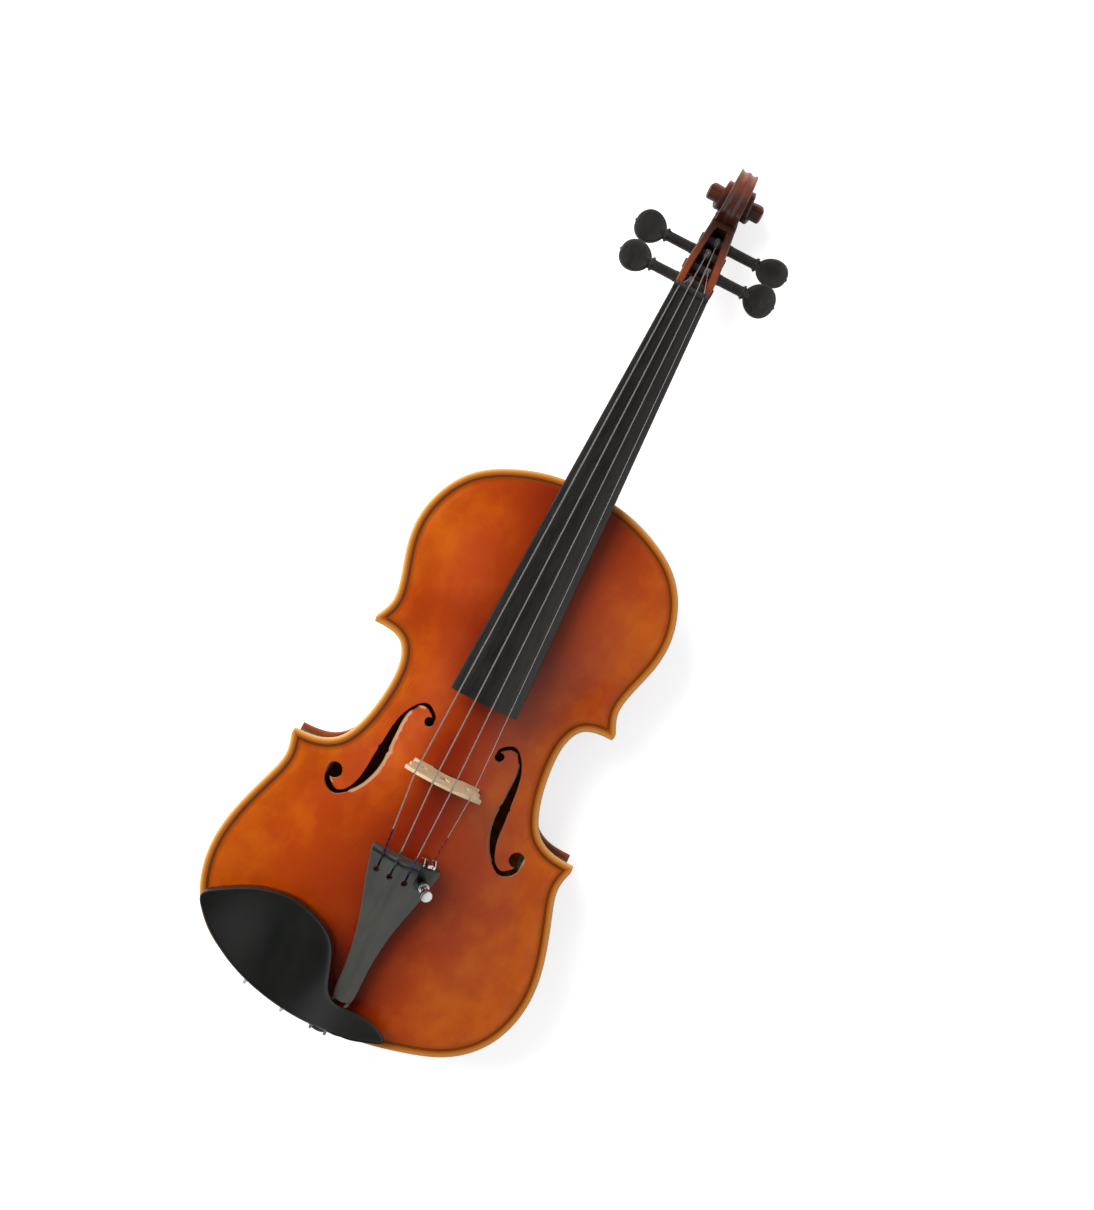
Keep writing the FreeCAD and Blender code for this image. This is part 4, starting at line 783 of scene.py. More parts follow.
def tone(x, y):
    """How deep the varnish colour is: deepest along the middle, at both ends and just above the upper corners, and
    paler on the lower treble bout and beside the feet of the bridge.
    """
    wide = between([(0, 74), (-62, 84), (-150, 66), (-281, 106), (-352, 80)], y)
    core = max(0.0, 1.0 - abs(x) / wide)
    ends = 0.35 * math.exp(-((y - 4.0) / 38.0) ** 2) + 0.22 * math.exp(-((y + 352.0) / 40.0) ** 2)
    ends += 0.30 * math.exp(-((y + 108.0) / 24.0) ** 2)
    ends -= 0.35 * math.exp(-((x - 55.0) / 34.0) ** 2 - ((y + 312.0) / 32.0) ** 2)
    # A paler patch beside each foot of the bridge.
    worn = 0.30 * math.exp(-((abs(x) - 27.0) / 10.0) ** 2 - ((y + 196.0) / 26.0) ** 2)
    return held(core ** between([(-150, 1.35), (-230, 1.1)], y) + ends - worn)


def belly():
    """The inner flank of each stem is cut at a slant; on the bass side its rim is painted a pale bare-wood colour,
    partly painted light where the lamp on that side falls on it.
    """
    rings = [(outline(i), i) for i in INSETS]
    verts, faces, walls, spots = plate(rings, sound_hole(1) + sound_hole(-1), belly_top, belly_low, 3.2)
    stems = [region(sound_hole(side)[0]) for side in (1, -1)]
    slant = 1.4
    rim = []
    for i, (x, y, d) in enumerate(spots):
        side = math.copysign(1.0, x)
        beside = d > 12.0 and abs(x) > 27.0 and y > -222.0
        flank = beside and any(stem(x + side * 0.4, y) and stem(x + side * 2.6, y) for stem in stems)
        if flank:
            verts[i + len(spots)].x += side * slant * MM
        # The rim value marks the bass hole's inner flank, which is painted pale as lit bare wood: painted light.
        rim.append(1.0 if flank and side < 0 else 0.0)
    values = {"tone": [tone(x, y) for x, y, d in spots] * 2, "edge": [min(d / 12.0, 1.0) for x, y, d in spots] * 2,
              "rim": rim * 2}
    return piece("belly", verts, faces, BELLY_VARNISH, "spruce_varnish", "top_plate", values=values,
                 second=(CUT_SPRUCE, walls))


print("belly faces:", len(belly().data.polygons))

# %% [markdown]
# ## Back, purfling and ribs
# The back is the belly's arching turned over, with the small round button that holds the heel of the neck. The
# purfling is a strip of three veneers let into a groove round both plates. The ribs are thin maple bent to the
# outline, and the plates overhang them a little.

# %% Back plate with its button
def back_outline(inset):
    """The outline with the button standing out at the neck."""
    line = outline(inset)
    if inset > 3.0:
        return line
    wide = 10.5 - inset
    half = [p for p in line[:len(line) // 2 + 1] if p.x > wide + 1.0 or p.y < -60.0]
    arc = [math.pi / 2 * (1.0 - i / 12.0) for i in range(13)]
    button = [Vector((wide * math.cos(a), 2.5 + wide * math.sin(a))) for a in arc]
    button[0].x = 0.0
    return both_sides(button + [Vector((wide, y)) for y in (1.0, -0.4 - inset)] + half)


def back():
    rings = [(back_outline(i), i) for i in INSETS]
    verts, faces, _, _ = plate(rings, [], lambda *spot: TURNED - belly_low(*spot),
                               lambda *spot: TURNED - belly_top(*spot), 3.6)
    return piece("back", verts, faces, MAPLE_VARNISH, "maple_varnish", "back_plate")


print("back faces:", len(back().data.polygons))

# %% Purfling strips
PURFLE_FROM, PURFLE_TO = 4.0, 5.2


def purfling_finish():
    made, tree, shader, _ = finish("purfling", 0.45, coat=0.25, coat_rough=0.2, shine=0.1)
    black, amber = (0.085, 0.020, 0.003), (0.24, 0.060, 0.005)
    paint(tree, shader, ramp(tree, painted(tree, "across"), [
        (0.0, black), (0.33, black), (0.40, amber), (0.60, amber), (0.67, black)]))
    return made


PURFLING = purfling_finish()


def purfle(name, belly_side, node):
    """The band inside the outline, almost flush with the face of its plate. Its inner edge is a hole's edge, whose
    inset the plate measures from the band's own outer edge, so there it is given."""
    lift, deep = 0.03, 0.6

    def inset(d):
        return d if d >= PURFLE_FROM else PURFLE_TO

    def face(x, y, d):
        return belly_top(x, y, inset(d)) + lift

    def inside(x, y, d):
        return face(x, y, d) - deep
    rings = [(outline(d), d) for d in (PURFLE_FROM, 4.4, 4.8)]
    top, low = face, inside
    if not belly_side:
        top, low = lambda *spot: TURNED - inside(*spot), lambda *spot: TURNED - face(*spot)
    verts, faces, _, spots = plate(rings, [outline(PURFLE_TO)], top, low, 50.0)
    across = [(inset(d) - PURFLE_FROM) / 1.2 for x, y, d in spots] * 2
    return piece(name, verts, faces, PURFLING, "purfling", node, values={"across": across})


purfle("belly_purfling", True, "purfling_top")
purfle("back_purfling", False, "purfling_back")
print("purfling laid in both plates")

# %% Ribs
def loft(rings, closed=True, caps=True):
    """Faces between rings of equally many points."""
    n = len(rings[0])
    verts = [p for ring in rings for p in ring]
    faces = []
    for i in range(len(rings) - 1):
        for j in range(n if closed else n - 1):
            k = (j + 1) % n
            faces.append((i * n + j, i * n + k, (i + 1) * n + k, (i + 1) * n + j))
    if caps:
        faces += [tuple(range(n))[::-1], tuple(range(len(verts) - n, len(verts)))]
    return verts, faces


def heel_edge(z):
    """Where the side of the heel meets the ribs, as it narrows towards the back."""
    return 8.2 + 0.137 * z


def rib(lines, side, node, to_heel):
    """A strip between the plates, its ends butting in the corners. The upper ones run on to the sloping heel."""
    rings = []
    rows = [(0, z) for z in RIB_HEIGHTS] + [(1, RIB_HEIGHTS[-1]), (1, RIB_HEIGHTS[0])]    # outside down, inside up
    if to_heel:
        ends = [[(p.x, p.y) for p in line if p.x < 17.0][::-1] for line in lines]
        rings.append([at(side * heel_edge(z), between(ends[k], heel_edge(z)), z) for k, z in rows])
    for pair in zip(*lines):
        if not (to_heel and pair[0].x < 15.2):
            rings.append([at(side * pair[k].x, pair[k].y, z) for k, z in rows])
    verts, faces = loft(rings)
    # The ribs carry the varnish with painted shadow.
    return piece(node + "_bent", verts, faces, RIB_VARNISH_WITH_SHADOW, "maple_varnish", node)


RIB_INSET, RIB_THICK = 2.7, 1.2
RIB_HEIGHTS = (46.0, 38.0, 30.5, 23.0, 15.0)
outside, inside = ([through([tuple(p) for p in line], 72) for line in bouts_at(inset)]
                   for inset in (RIB_INSET, RIB_INSET + RIB_THICK))
ribs = [rib(lines, side, "rib_%s_%s" % (word, tag), word == "upper")
        for word, lines in zip(("upper", "waist", "lower"), zip(outside, inside))
        for side, tag in ((1, "treble"), (-1, "bass"))]
print("ribs bent:", len(ribs))

# %% [markdown]
# ## Inside the body
# Blocks and linings hold the glue joints, and a bar and a post stand under the feet of the bridge. They could be
# shaped again like the plates. But they are plain sawn spruce that hardly shows through the sound holes, so the
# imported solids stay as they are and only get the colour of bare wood.

# %% Blocks, linings, bar and post
inside_pieces = ("linings_top", "linings_back", "corner_blocks", "top_block", "bottom_block", "bass_bar",
                 "sound_post")
for name in inside_pieces:
    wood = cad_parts[name].data
    wood.materials.clear()
    wood.materials.append(SPRUCE_RAW)
print("bare spruce inside:", len(inside_pieces), "pieces")

# %% [markdown]
# ## Neck and pegbox
# Neck, heel, pegbox and scroll are carved from one piece of maple. The neck is a row of D-shaped sections that
# grow into the heel. The pegbox is a row of U-shaped sections, with two shallow flutes down its back.

# %% Neck from the heel to the nut
NUT_Y = 130.0
BOX_FRONT = [(202, 14), (190, 23.5), (184, 28.0), (176, 31.2), (160, 37.6), (146, 42.8), (130, 46.75), (120, 47.7)]
BOX_BACK = [(206, 0.5), (197, 0.9), (186, 4.4), (170, 12.4), (152, 21.2), (140, 27.4), (134, 31.2), (128, 33.8),
            (120, 34.6)]
BOX_HALF = [(206, 6.6), (196, 7.0), (188, 8.0), (182, 8.3), (170, 9.4), (152, 11.0), (140, 11.4), (130, 11.5),
            (120, 11.5)]
# Each row is y, half width at the top, depth, half width low down, and from 0 for square to 1 for round.
HEEL = [(-5.0, 16.2, 44.8, 10.1, 0.24), (-0.5, 16.2, 44.6, 10.1, 0.24), (2.0, 16.2, 43.0, 10.1, 0.36),
        (5.0, 16.1, 39.4, 10.3, 0.46), (9.0, 15.9, 31.2, 11.0, 0.60), (14.0, 15.6, 22.4, 12.6, 0.80),
        (20.0, 15.3, 16.6, 14.0, 0.92), (28.0, 14.9, 14.0, 14.6, 0.98), (60.0, 14.2, 13.3, 14.0, 1.0),
        (100.0, 12.9, 12.9, 12.8, 1.0), (124.0, 12.2, 13.2, 12.1, 1.0)]


def glue_z(y):
    """Height of the joint between neck and fingerboard."""
    return 46.75 + 0.0931 * (NUT_Y - y)


def board_half(y):
    """Half the width of the fingerboard."""
    return 0.5 * (23.0 + 18.8 * (NUT_Y - y) / 270.0)


def neck():
    """Squarer sections at the heel and round ones along the neck, none below the face of the back."""
    rings = []
    lowest, gap = 15.02, 0.03
    for y, half, depth, low, square in through(HEEL, 60):
        half = min(half, board_half(y) - 0.05)
        top = glue_z(y)
        ring = [at(half, y, top - gap)]
        for i in range(25):
            a = math.pi * i / 24
            deep = max(math.sin(a), 0.0) ** square
            wide = half + (low - half) * deep
            across = math.copysign(abs(math.cos(a)) ** square, math.cos(a)) * wide
            ring.append(at(across, y, max(top - 1.0 - (depth - 1.0) * deep, lowest)))
        rings.append(ring + [at(-half, y, top - gap)])
    return loft(rings)


neck_verts, neck_faces = neck()
print("neck from the heel to %.0f mm" % HEEL[-1][0])

# %% Pegbox walls, floor and back
def pegbox():
    """U-shaped sections, hollow between the nut and the throat of the scroll."""
    rings = []
    steps = [122.0, 126.0, 130.0, 134.0, 135.4, 135.5, 136.0] + [138.0 + 2.0 * i for i in range(21)]
    for y in steps + [179.2, 180.4, 181.6, 183.0, 186.0, 190.0, 194.0, 198.0, 202.0]:
        front, back_z, half = between(BOX_FRONT, y), between(BOX_BACK, y), between(BOX_HALF, y)
        hollow = held((y - 135.4) / 0.1) * held((181.5 - y) / 3.0)
        inner = max(half - 4.6, 3.0)
        floor_z = front - hollow * (front - back_z - 4.5)
        flute = 1.1 * held((y - 132.0) / 16.0)
        side = [(inner - 0.4, floor_z), (inner - 0.1, floor_z + (front - floor_z) * 0.5),
                (inner, front - 0.8 * hollow), (inner + 0.5, front), (half - 0.7, front), (half, front - 0.7),
                (half, (front + back_z) / 2 + 1.0),
                (half, back_z + 2.0), (half - 0.6, back_z + 0.7), (half - 1.4, back_z + 0.4),
                (half * 0.62, back_z + 0.3 + flute * 0.75), (half * 0.40, back_z + flute),
                (half * 0.20, back_z + flute * 0.7), (0.4, back_z)]
        rings.append([at(x, y, z) for x, z in side] + [at(-x, y, z) for x, z in side[::-1]])
    return loft(rings)


box_verts, box_faces = pegbox()
print("pegbox points:", len(box_verts))

# %% [markdown]
# ## The scroll
# A scroll follows a rule: with each full turn its radius shrinks by the same share while the band grows wider,
# up to the eye. So the band starts as one straight strip of sections. Each vertex knows its angle, its place
# across the width and its depth below the outer face, and Geometry Nodes roll the strip up.

# %% The rule of the spiral as Geometry Nodes
def tree_of(name, inputs):
    """A geometry tree with named inputs. Returns it with its input and output sockets."""
    tree = bpy.data.node_groups.new(name, "GeometryNodeTree")
    tree.interface.new_socket("Geometry", in_out="INPUT", socket_type="NodeSocketGeometry")
    for label in inputs:
        tree.interface.new_socket(label, in_out="INPUT", socket_type="NodeSocketFloat")
    tree.interface.new_socket("Finish", in_out="INPUT", socket_type="NodeSocketMaterial")
    tree.interface.new_socket("Geometry", in_out="OUTPUT", socket_type="NodeSocketGeometry")
    return tree, tree.nodes.new("NodeGroupInput").outputs, tree.nodes.new("NodeGroupOutput").inputs


def known(tree, name):
    """A value that the start mesh stores on its points."""
    return add(tree, "GeometryNodeInputNamedAttribute", inputs={"Name": name}, data_type="FLOAT")


def finish_tree(tree, geometry, into, out):
    """Every tree ends in real geometry with its finish."""
    real = add(tree, "GeometryNodeRealizeInstances", inputs={"Geometry": geometry})
    painted = add(tree, "GeometryNodeSetMaterial", inputs={"Geometry": real, "Material": into["Finish"]})
    tree.links.new(painted, out["Geometry"])
    return tree


def grown(name, tree, verts, faces, finish, values=None, **sizes):
    """Runs a geometry tree on a start mesh and keeps the result as a plain mesh."""
    made = placed(name, mesh_of(name, verts, faces, values))
    modifier = made.modifiers.new("rule", "NODES")
    modifier.node_group = tree
    sockets = {item.name: item.identifier for item in tree.interface.items_tree if item.in_out == "INPUT"}
    modifier[sockets["Finish"]] = finish
    for key, value in sizes.items():
        modifier[sockets[key]] = value
    return plain(made)


def scroll_rule():
    """Rolls up the band: its radius shrinks with each turn, while its width grows up to the eye."""
    names = ("Radius", "Shrink", "Width", "Growth", "Widest", "CentreY", "CentreZ")
    tree, into, out = tree_of("scroll_rule", names)
    angle, side, depth, sunk = (known(tree, key) for key in ("angle", "side", "depth", "sunk"))

    def radius(ahead):
        turns = calc(tree, "DIVIDE", calc(tree, "ADD", angle, 90.0 + ahead), 360.0)
        return times(tree, into["Radius"], calc(tree, "POWER", into["Shrink"], turns))
    outer = radius(0.0)
    inner = calc(tree, "MAXIMUM", calc(tree, "SUBTRACT", radius(360.0), 0.3 * MM), 1.0 * MM)
    size = calc(tree, "DIVIDE", outer, into["Radius"])
    r = calc(tree, "MULTIPLY_ADD", depth, calc(tree, "SUBTRACT", inner, outer), outer)
    r = calc(tree, "SUBTRACT", r, times(tree, sunk, size))
    ahead = calc(tree, "POWER", calc(tree, "DIVIDE", calc(tree, "MAXIMUM", angle, 0.0), 360.0), 1.2)
    behind = calc(tree, "POWER", calc(tree, "DIVIDE", calc(tree, "MINIMUM", angle, 0.0), 90.0), 2.0)
    wide = calc(tree, "MULTIPLY_ADD", ahead, into["Growth"], into["Width"])
    wide = calc(tree, "MULTIPLY_ADD", behind, 2.0 * MM, wide)
    ear = times(tree, calc(tree, "MAXIMUM", calc(tree, "SUBTRACT", angle, 560.0), 0.0), 4.0 * MM / 244.0)
    wide = calc(tree, "MINIMUM", calc(tree, "ADD", wide, ear), into["Widest"])
    turn = times(tree, angle, math.pi / 180.0)
    place = add(tree, "ShaderNodeCombineXYZ", inputs={
        0: times(tree, side, wide),
        1: calc(tree, "MULTIPLY_ADD", calc(tree, "COSINE", turn), r, into["CentreY"]),
        2: calc(tree, "MULTIPLY_ADD", calc(tree, "SINE", turn), r, into["CentreZ"])})
    moved = add(tree, "GeometryNodeSetPosition", inputs={"Geometry": into["Geometry"], "Position": place})
    return finish_tree(tree, moved, into, out)


print("scroll rule ready")

# %% The band before it is rolled up
SCROLL_Y, SCROLL_Z = 201.4, 23.9


def scroll_band():
    """Two and a half turns of sections; each is a row of (side, depth, sunk below the face in mm)."""
    right = [(0.06, 0.0, 0.0), (0.20, 0.0, 0.55), (0.45, 0.0, 1.35), (0.70, 0.0, 0.75), (0.84, 0.0, 0.05),
             (0.94, 0.0, 0.0), (1.0, 0.0, 0.9), (0.985, 0.2, 0.4), (0.95, 0.45, 0.0), (0.93, 0.7, 0.0),
             (0.93, 1.0, 0.0)]
    section = right + [(-s, d, h) for s, d, h in right[::-1]]
    angles = [-96.0 + 5.0 * i for i in range(181)]
    rings = [[Vector((s, angle, d)) for s, d, h in section] for angle in angles]
    verts, faces = loft(rings)
    rows = [(angle, s, d, h * MM) for angle in angles for s, d, h in section]
    keys = ("angle", "side", "depth", "sunk")
    return verts, faces, {key: [row[i] for row in rows] for i, key in enumerate(keys)}


print("sections of the band:", len(scroll_band()[0]) // 22)

# %% Turned pieces and joined shapes
def lathe(profile, about, axis, steps=32):
    """A turned piece: profile rows are (radius, distance along the axis) in mm; a row on the axis is one point."""
    axis = Vector(axis).normalized()
    one = axis.orthogonal().normalized()
    two = axis.cross(one)
    turns = [2 * math.pi * i / steps for i in range(steps)]
    verts, faces, rows = [], [], []
    for r, s in profile:
        centre = about + axis * (s * MM)
        if r < 1e-6:
            rows.append([len(verts)])
            verts.append(centre)
            continue
        rows.append(list(range(len(verts), len(verts) + steps)))
        verts += [centre + (one * math.cos(a) + two * math.sin(a)) * (r * MM) for a in turns]
    for a, b in zip(rows, rows[1:]):
        for i in range(steps):
            k = (i + 1) % steps
            face = tuple(dict.fromkeys((a[i % len(a)], a[k % len(a)], b[k % len(b)], b[i % len(b)])))
            if len(face) > 2:
                faces.append(face)
    return verts, faces


def gather(*parts):
    """Joins the vertices and faces of several shapes."""
    verts, faces = [], []
    for v, f in parts:
        faces += [tuple(i + len(verts) for i in face) for face in f]
        verts += list(v)
    return verts, faces


print("turning tools ready")

# %% Roll up the scroll and join it to the neck
def head():
    verts, faces, values = scroll_band()
    rolled = grown("scroll", scroll_rule(), verts, faces, HEAD_VARNISH_WITH_SHADE, values, Radius=24.3 * MM, Shrink=0.55,
                   Width=5.6 * MM, Growth=3.3 * MM, Widest=18.2 * MM, CentreY=(SCROLL_Y + ROW_Y) * MM,
                   CentreZ=SCROLL_Z * MM)
    band = [v.co.copy() for v in rolled.data.vertices], [tuple(p.vertices) for p in rolled.data.polygons]
    bpy.data.objects.remove(rolled)
    rim = [(4.8, 17.3), (4.0, 18.1), (2.4, 18.5), (0, 18.6)]
    eye = lathe([(r, -s) for r, s in rim[::-1]] + rim, at(0, SCROLL_Y, SCROLL_Z), (1, 0, 0))
    verts, faces = gather((neck_verts, neck_faces), (box_verts, box_faces), band, eye)
    return piece("neck_and_scroll", verts, faces, HEAD_VARNISH_WITH_SHADE, "maple_varnish", "neck_scroll", sharp=34.0)


print("neck and scroll faces:", len(head().data.polygons))

# %% [markdown]
# ## Fingerboard and nut
# The fingerboard is one plank of ebony, rounded across its top and hollowed below where it stands free. Its
# edges are eased. The nut at its upper end carries four grooves for the strings.

# %% Ebony, polished and matt
def dark_wood(name, light, dark, rough, coat=0.0, streak=0.6):
    made, tree, shader, _ = finish(name, rough, coat=coat, coat_rough=0.2, shine=0.4, size=240.0, bump=0.06)
    streaks = speckle(tree, object_place(tree, (1.0, 0.03, 1.0)), 700.0, 3.0, 0.6)
    cloud = speckle(tree, object_place(tree, (1.0, 0.3, 1.0)), 40.0, 3.0)
    share = calc(tree, "MULTIPLY_ADD", streaks, streak, times(tree, cloud, 1.0 - streak))
    paint(tree, shader, ramp(tree, share, [(0.35, dark), (0.65, light)]))
    return made


EBONY = dark_wood("ebony", (0.022, 0.020, 0.018), (0.009, 0.008, 0.007), 0.34)
PEG_WOOD = dark_wood("peg_ebony", (0.030, 0.027, 0.023), (0.012, 0.011, 0.010), 0.38)
CHIN_BLACK = dark_wood("chin_black", (0.011, 0.012, 0.010), (0.006, 0.007, 0.006), 0.36, coat=0.2, streak=0.0)
print("ebony, peg wood and chin black ready")

# %% The fingerboard
BOARD_R = 42.0
BOARD_EDGE = 4.5


def board_top(x, y):
    """Height of the rounded playing face."""
    half = board_half(y)
    drop = BOARD_R - math.sqrt(BOARD_R ** 2 - half ** 2)
    return glue_z(y) + BOARD_EDGE + drop - (BOARD_R - math.sqrt(BOARD_R ** 2 - x * x))


def fingerboard():
    """Sections from the nut to the free end, which is hollowed below from where it leaves the neck."""
    rings = []
    free_from, end = -12.0, -140.0
    places = [NUT_Y, NUT_Y - 0.4, 120.0, 90.0, 60.0, 30.0, 0.0, -11.8, -12.2, -26.0, -40.0]
    places += [-52.0 - 8.0 * i for i in range(11)] + [end + 0.6, end]
    for y in places:
        half, z = board_half(y), glue_z(y)
        ease = 0.5 if NUT_Y - 0.3 > y > end + 0.3 else 0.9
        scoop = 0.0 if y > free_from else 1.5 + 3.0 * min(1.0, (free_from - y) / 28.0)
        ring = [at(half - 0.3, y, z), at(half, y, z + 0.4), at(half, y, z + BOARD_EDGE - ease)]
        for i in range(17):
            x = (half - ease) * math.cos(math.pi * i / 16)
            low = (0.35 if 0 < i < 16 else 0.0) * (ease - 0.5)
            ring.append(at(x, y, board_top(x, y) - low - (0.12 if i in (0, 16) else 0.0)))
        ring += [at(-half, y, z + BOARD_EDGE - ease), at(-half, y, z + 0.4), at(-half + 0.3, y, z)]
        for i in range(13):
            x = (half - 3.5) * math.cos(math.pi * (1.0 - i / 12.0))
            ring.append(at(x, y, z + 0.02 + scoop * (1.0 - (x / (half - 3.5)) ** 2)))
        rings.append(ring)
    verts, faces = loft(rings)
    return piece("fingerboard_rounded", verts, faces, EBONY, "ebony", "fingerboard", sharp=40.0)


print("fingerboard faces:", len(fingerboard().data.polygons))

# %% The nut
STRINGS = {"g": (-8.25, -17.0, 0.42, -13.2), "d": (-2.75, -5.67, 0.40, -4.6),
           "a": (2.75, 5.67, 0.36, 4.6), "e": (8.25, 17.0, 0.22, 13.2)}    # at nut, at bridge, radius, in tailpiece
NUT_ABOVE = 0.75                                                           # the nut stands above the board


def groove(x, centre, half, deep):
    """Depth of a round groove at a place across it."""
    away = abs(x - centre)
    return deep * math.sqrt(1.0 - (away / half) ** 2) if away < half else 0.0


def nut():
    rings = []
    last = 96
    for k in range(last + 1):
        x = -11.5 + 23.0 * k / last
        deepest = max(groove(x, at_nut, r + 0.15, 0.55) for at_nut, _, r, _ in STRINGS.values())
        top = board_top(x, NUT_Y) + NUT_ABOVE - deepest
        end = 0.5 if k in (0, last) else 0.0
        rings.append([at(x, NUT_Y + up, z) for up, z in (
            (0.02, 46.78), (0.02, top - 0.3 - end), (0.4, top - end), (1.7, top - end), (3.4, top - 1.1 - end),
            (4.8, top - 2.6 - end), (5.45, top - 4.0), (5.45, 46.3))])
    verts, faces = loft(rings)
    return piece("nut_grooved", verts, faces, EBONY, "ebony", "nut")


print("nut with %d grooves, faces:" % len(STRINGS), len(nut().data.polygons))

# %% [markdown]
# ## Pegs
# A peg is a turned shank with a slight taper, a collar bead and a flat rounded thumb-piece, full on both
# faces. Each stands in the pegbox at its own turn. The shank is turned as on a lathe, and the thumb-piece is a
# row of smaller and smaller outlines on either side of its rim, as a file would round it.

# %% Pegs
PEGS = {"g": (-1, 140.2, 37.2, 12), "e": (1, 151.8, 32.6, 24), "d": (-1, 163.0, 28.6, 0), "a": (1, 173.4, 24.4, 58)}
WIND_AT = {"g": -3.4, "d": -1.4, "a": 1.2, "e": 3.4}
COLLAR = 28.0                          # from the middle of the pegbox to the collar bead


def peg_radius(x):
    """Radius of the tapered shank at a distance from the middle of the pegbox towards the head."""
    return 3.75 - (COLLAR - x) / 60.0


def thumb_piece():
    """The flat head: a rounded heart in outline, full in the middle and thin at its rim."""
    half = [(-9.3, 2.0), (-7.8, 5.2), (-4.6, 8.4), (0.2, 10.3), (5.2, 9.6), (8.9, 6.4), (10.4, 2.8)]
    line = through(half + [(10.6, 0.0)] + [(x, -y) for x, y in half[::-1]], 72, closed=True)
    thick = [(1.0, 0.7), (0.985, 1.25), (0.93, 1.9), (0.85, 2.35), (0.70, 2.8), (0.50, 3.1), (0.30, 3.3),
             (0.14, 3.4)]
    return loft([[(p * share).to_3d() + Vector((0, 0, z)) for p in line]
                 for share, z in thick[::-1] + [(share, -z) for share, z in thick]])


def peg(name):
    """Shank, thumb-piece and pip with the head on +X, then turned to its own side and angle."""
    side, y, z, turn = PEGS[name]
    tip, wall = -between(BOX_HALF, y) - 0.9, between(BOX_HALF, y) + 1.6
    shank = [(0, tip), (peg_radius(tip) - 0.5, tip), (peg_radius(tip), tip + 0.4), (peg_radius(wall), wall),
             (3.25, wall + 0.8), (3.2, 26.4), (3.5, 27.6), (4.2, COLLAR), (4.4, 28.4), (4.4, 28.9), (4.1, 29.3),
             (3.5, 29.6), (3.2, 30.6), (3.1, 33.0), (2.6, 35.0), (0, 35.4)]
    stem = lathe(shank, Vector((0, 0, 0)), (1, 0, 0), 28)
    verts, faces = thumb_piece()
    head = [Vector((v.x + 39.0, v.y, v.z)) * MM for v in verts], faces
    pip = lathe([(0, -1.3), (0.9, -0.95), (1.3, 0), (0.9, 0.95), (0, 1.3)], Vector((49.0 * MM, 0, 0)), (1, 0, 0), 14)
    place = Matrix.Translation(at(0, y, z)) @ Matrix.Rotation(math.pi if side < 0 else 0.0, 4, "Z")
    place = place @ Matrix.Rotation(math.radians(turn), 4, "X")
    verts, faces = gather(stem, head, pip)
    piece("peg_%s_turned" % name, [place @ v for v in verts], faces, PEG_WOOD, "ebony", "peg_" + name,
          body="peg_turner_" + name, sharp=50.0)


for name in PEGS:
    peg(name)
print("pegs:", len(PEGS))

# %% [markdown]
# ## Strings
# Each string runs from its peg over the nut and the bridge to the tailpiece. Three are wound with flat metal
# ribbon and the fourth is plain steel. Where a string meets the tailpiece it is wrapped in coloured silk.

# %% Metals and silks
def metal(name, colour, rough):
    made, tree, shader, _ = finish(name, rough, metal=1.0, size=500.0, bump=0.02, dull=0.06)
    paint(tree, shader, colour)
    return made


def ridged(tree, bump, height, strength, distance):
    """Gives the bump of a finish its own height."""
    tree.links.new(height, bump.inputs["Height"])
    bump.inputs["Strength"].default_value = strength
    bump.inputs["Distance"].default_value = distance


def wound_metal():
    """Bright ribbon wound round the core: fine rings that follow the length of the string."""
    made, tree, shader, bump = finish("wound_metal", 0.30, metal=1.0, size=500.0)
    wave = calc(tree, "SINE", times(tree, painted(tree, "along"), 2 * math.pi / 0.45))
    ridged(tree, bump, wave, 0.35, 0.00008)
    paint(tree, shader, blend(tree, span(tree, wave, -1.0, 0.2), (0.20, 0.19, 0.18), (0.62, 0.60, 0.57)))
    return made


def silk(name, light, dark):
    """Thread laid round the string in close turns."""
    made, tree, shader, bump = finish(name, 0.75, shine=0.2, size=600.0)
    along, around = painted(tree, "along"), painted(tree, "around")
    thread = calc(tree, "SINE", calc(tree, "MULTIPLY_ADD", along, 2 * math.pi / 0.32, times(tree, around, 6.283)))
    ridged(tree, bump, thread, 0.5, 0.00006)
    share = calc(tree, "MULTIPLY_ADD", thread, 0.5, calc(tree, "SINE", times(tree, along, 1.7)))
    paint(tree, shader, blend(tree, span(tree, share, -1.0, 1.2), dark, light))
    return made


WOUND = wound_metal()
PLAIN_STEEL = metal("plain_steel", (0.58, 0.57, 0.56), 0.28)
STEEL = metal("screw_steel", (0.50, 0.49, 0.47), 0.30)
CHROME = metal("chrome", (0.66, 0.66, 0.67), 0.14)
BLACK_STEEL = metal("blackened_steel", (0.055, 0.055, 0.052), 0.36)
BRASS = metal("brass", (0.62, 0.42, 0.16), 0.30)
SILKS = {"g": silk("violet_thread", (0.060, 0.022, 0.065), (0.020, 0.008, 0.026)),
         "d": silk("green_thread", (0.030, 0.130, 0.075), (0.008, 0.045, 0.026)),
         "a": silk("blue_thread", (0.035, 0.065, 0.180), (0.010, 0.022, 0.070)),
         "e": silk("red_thread", (0.210, 0.035, 0.050), (0.080, 0.012, 0.022))}
print("metals and silks ready")

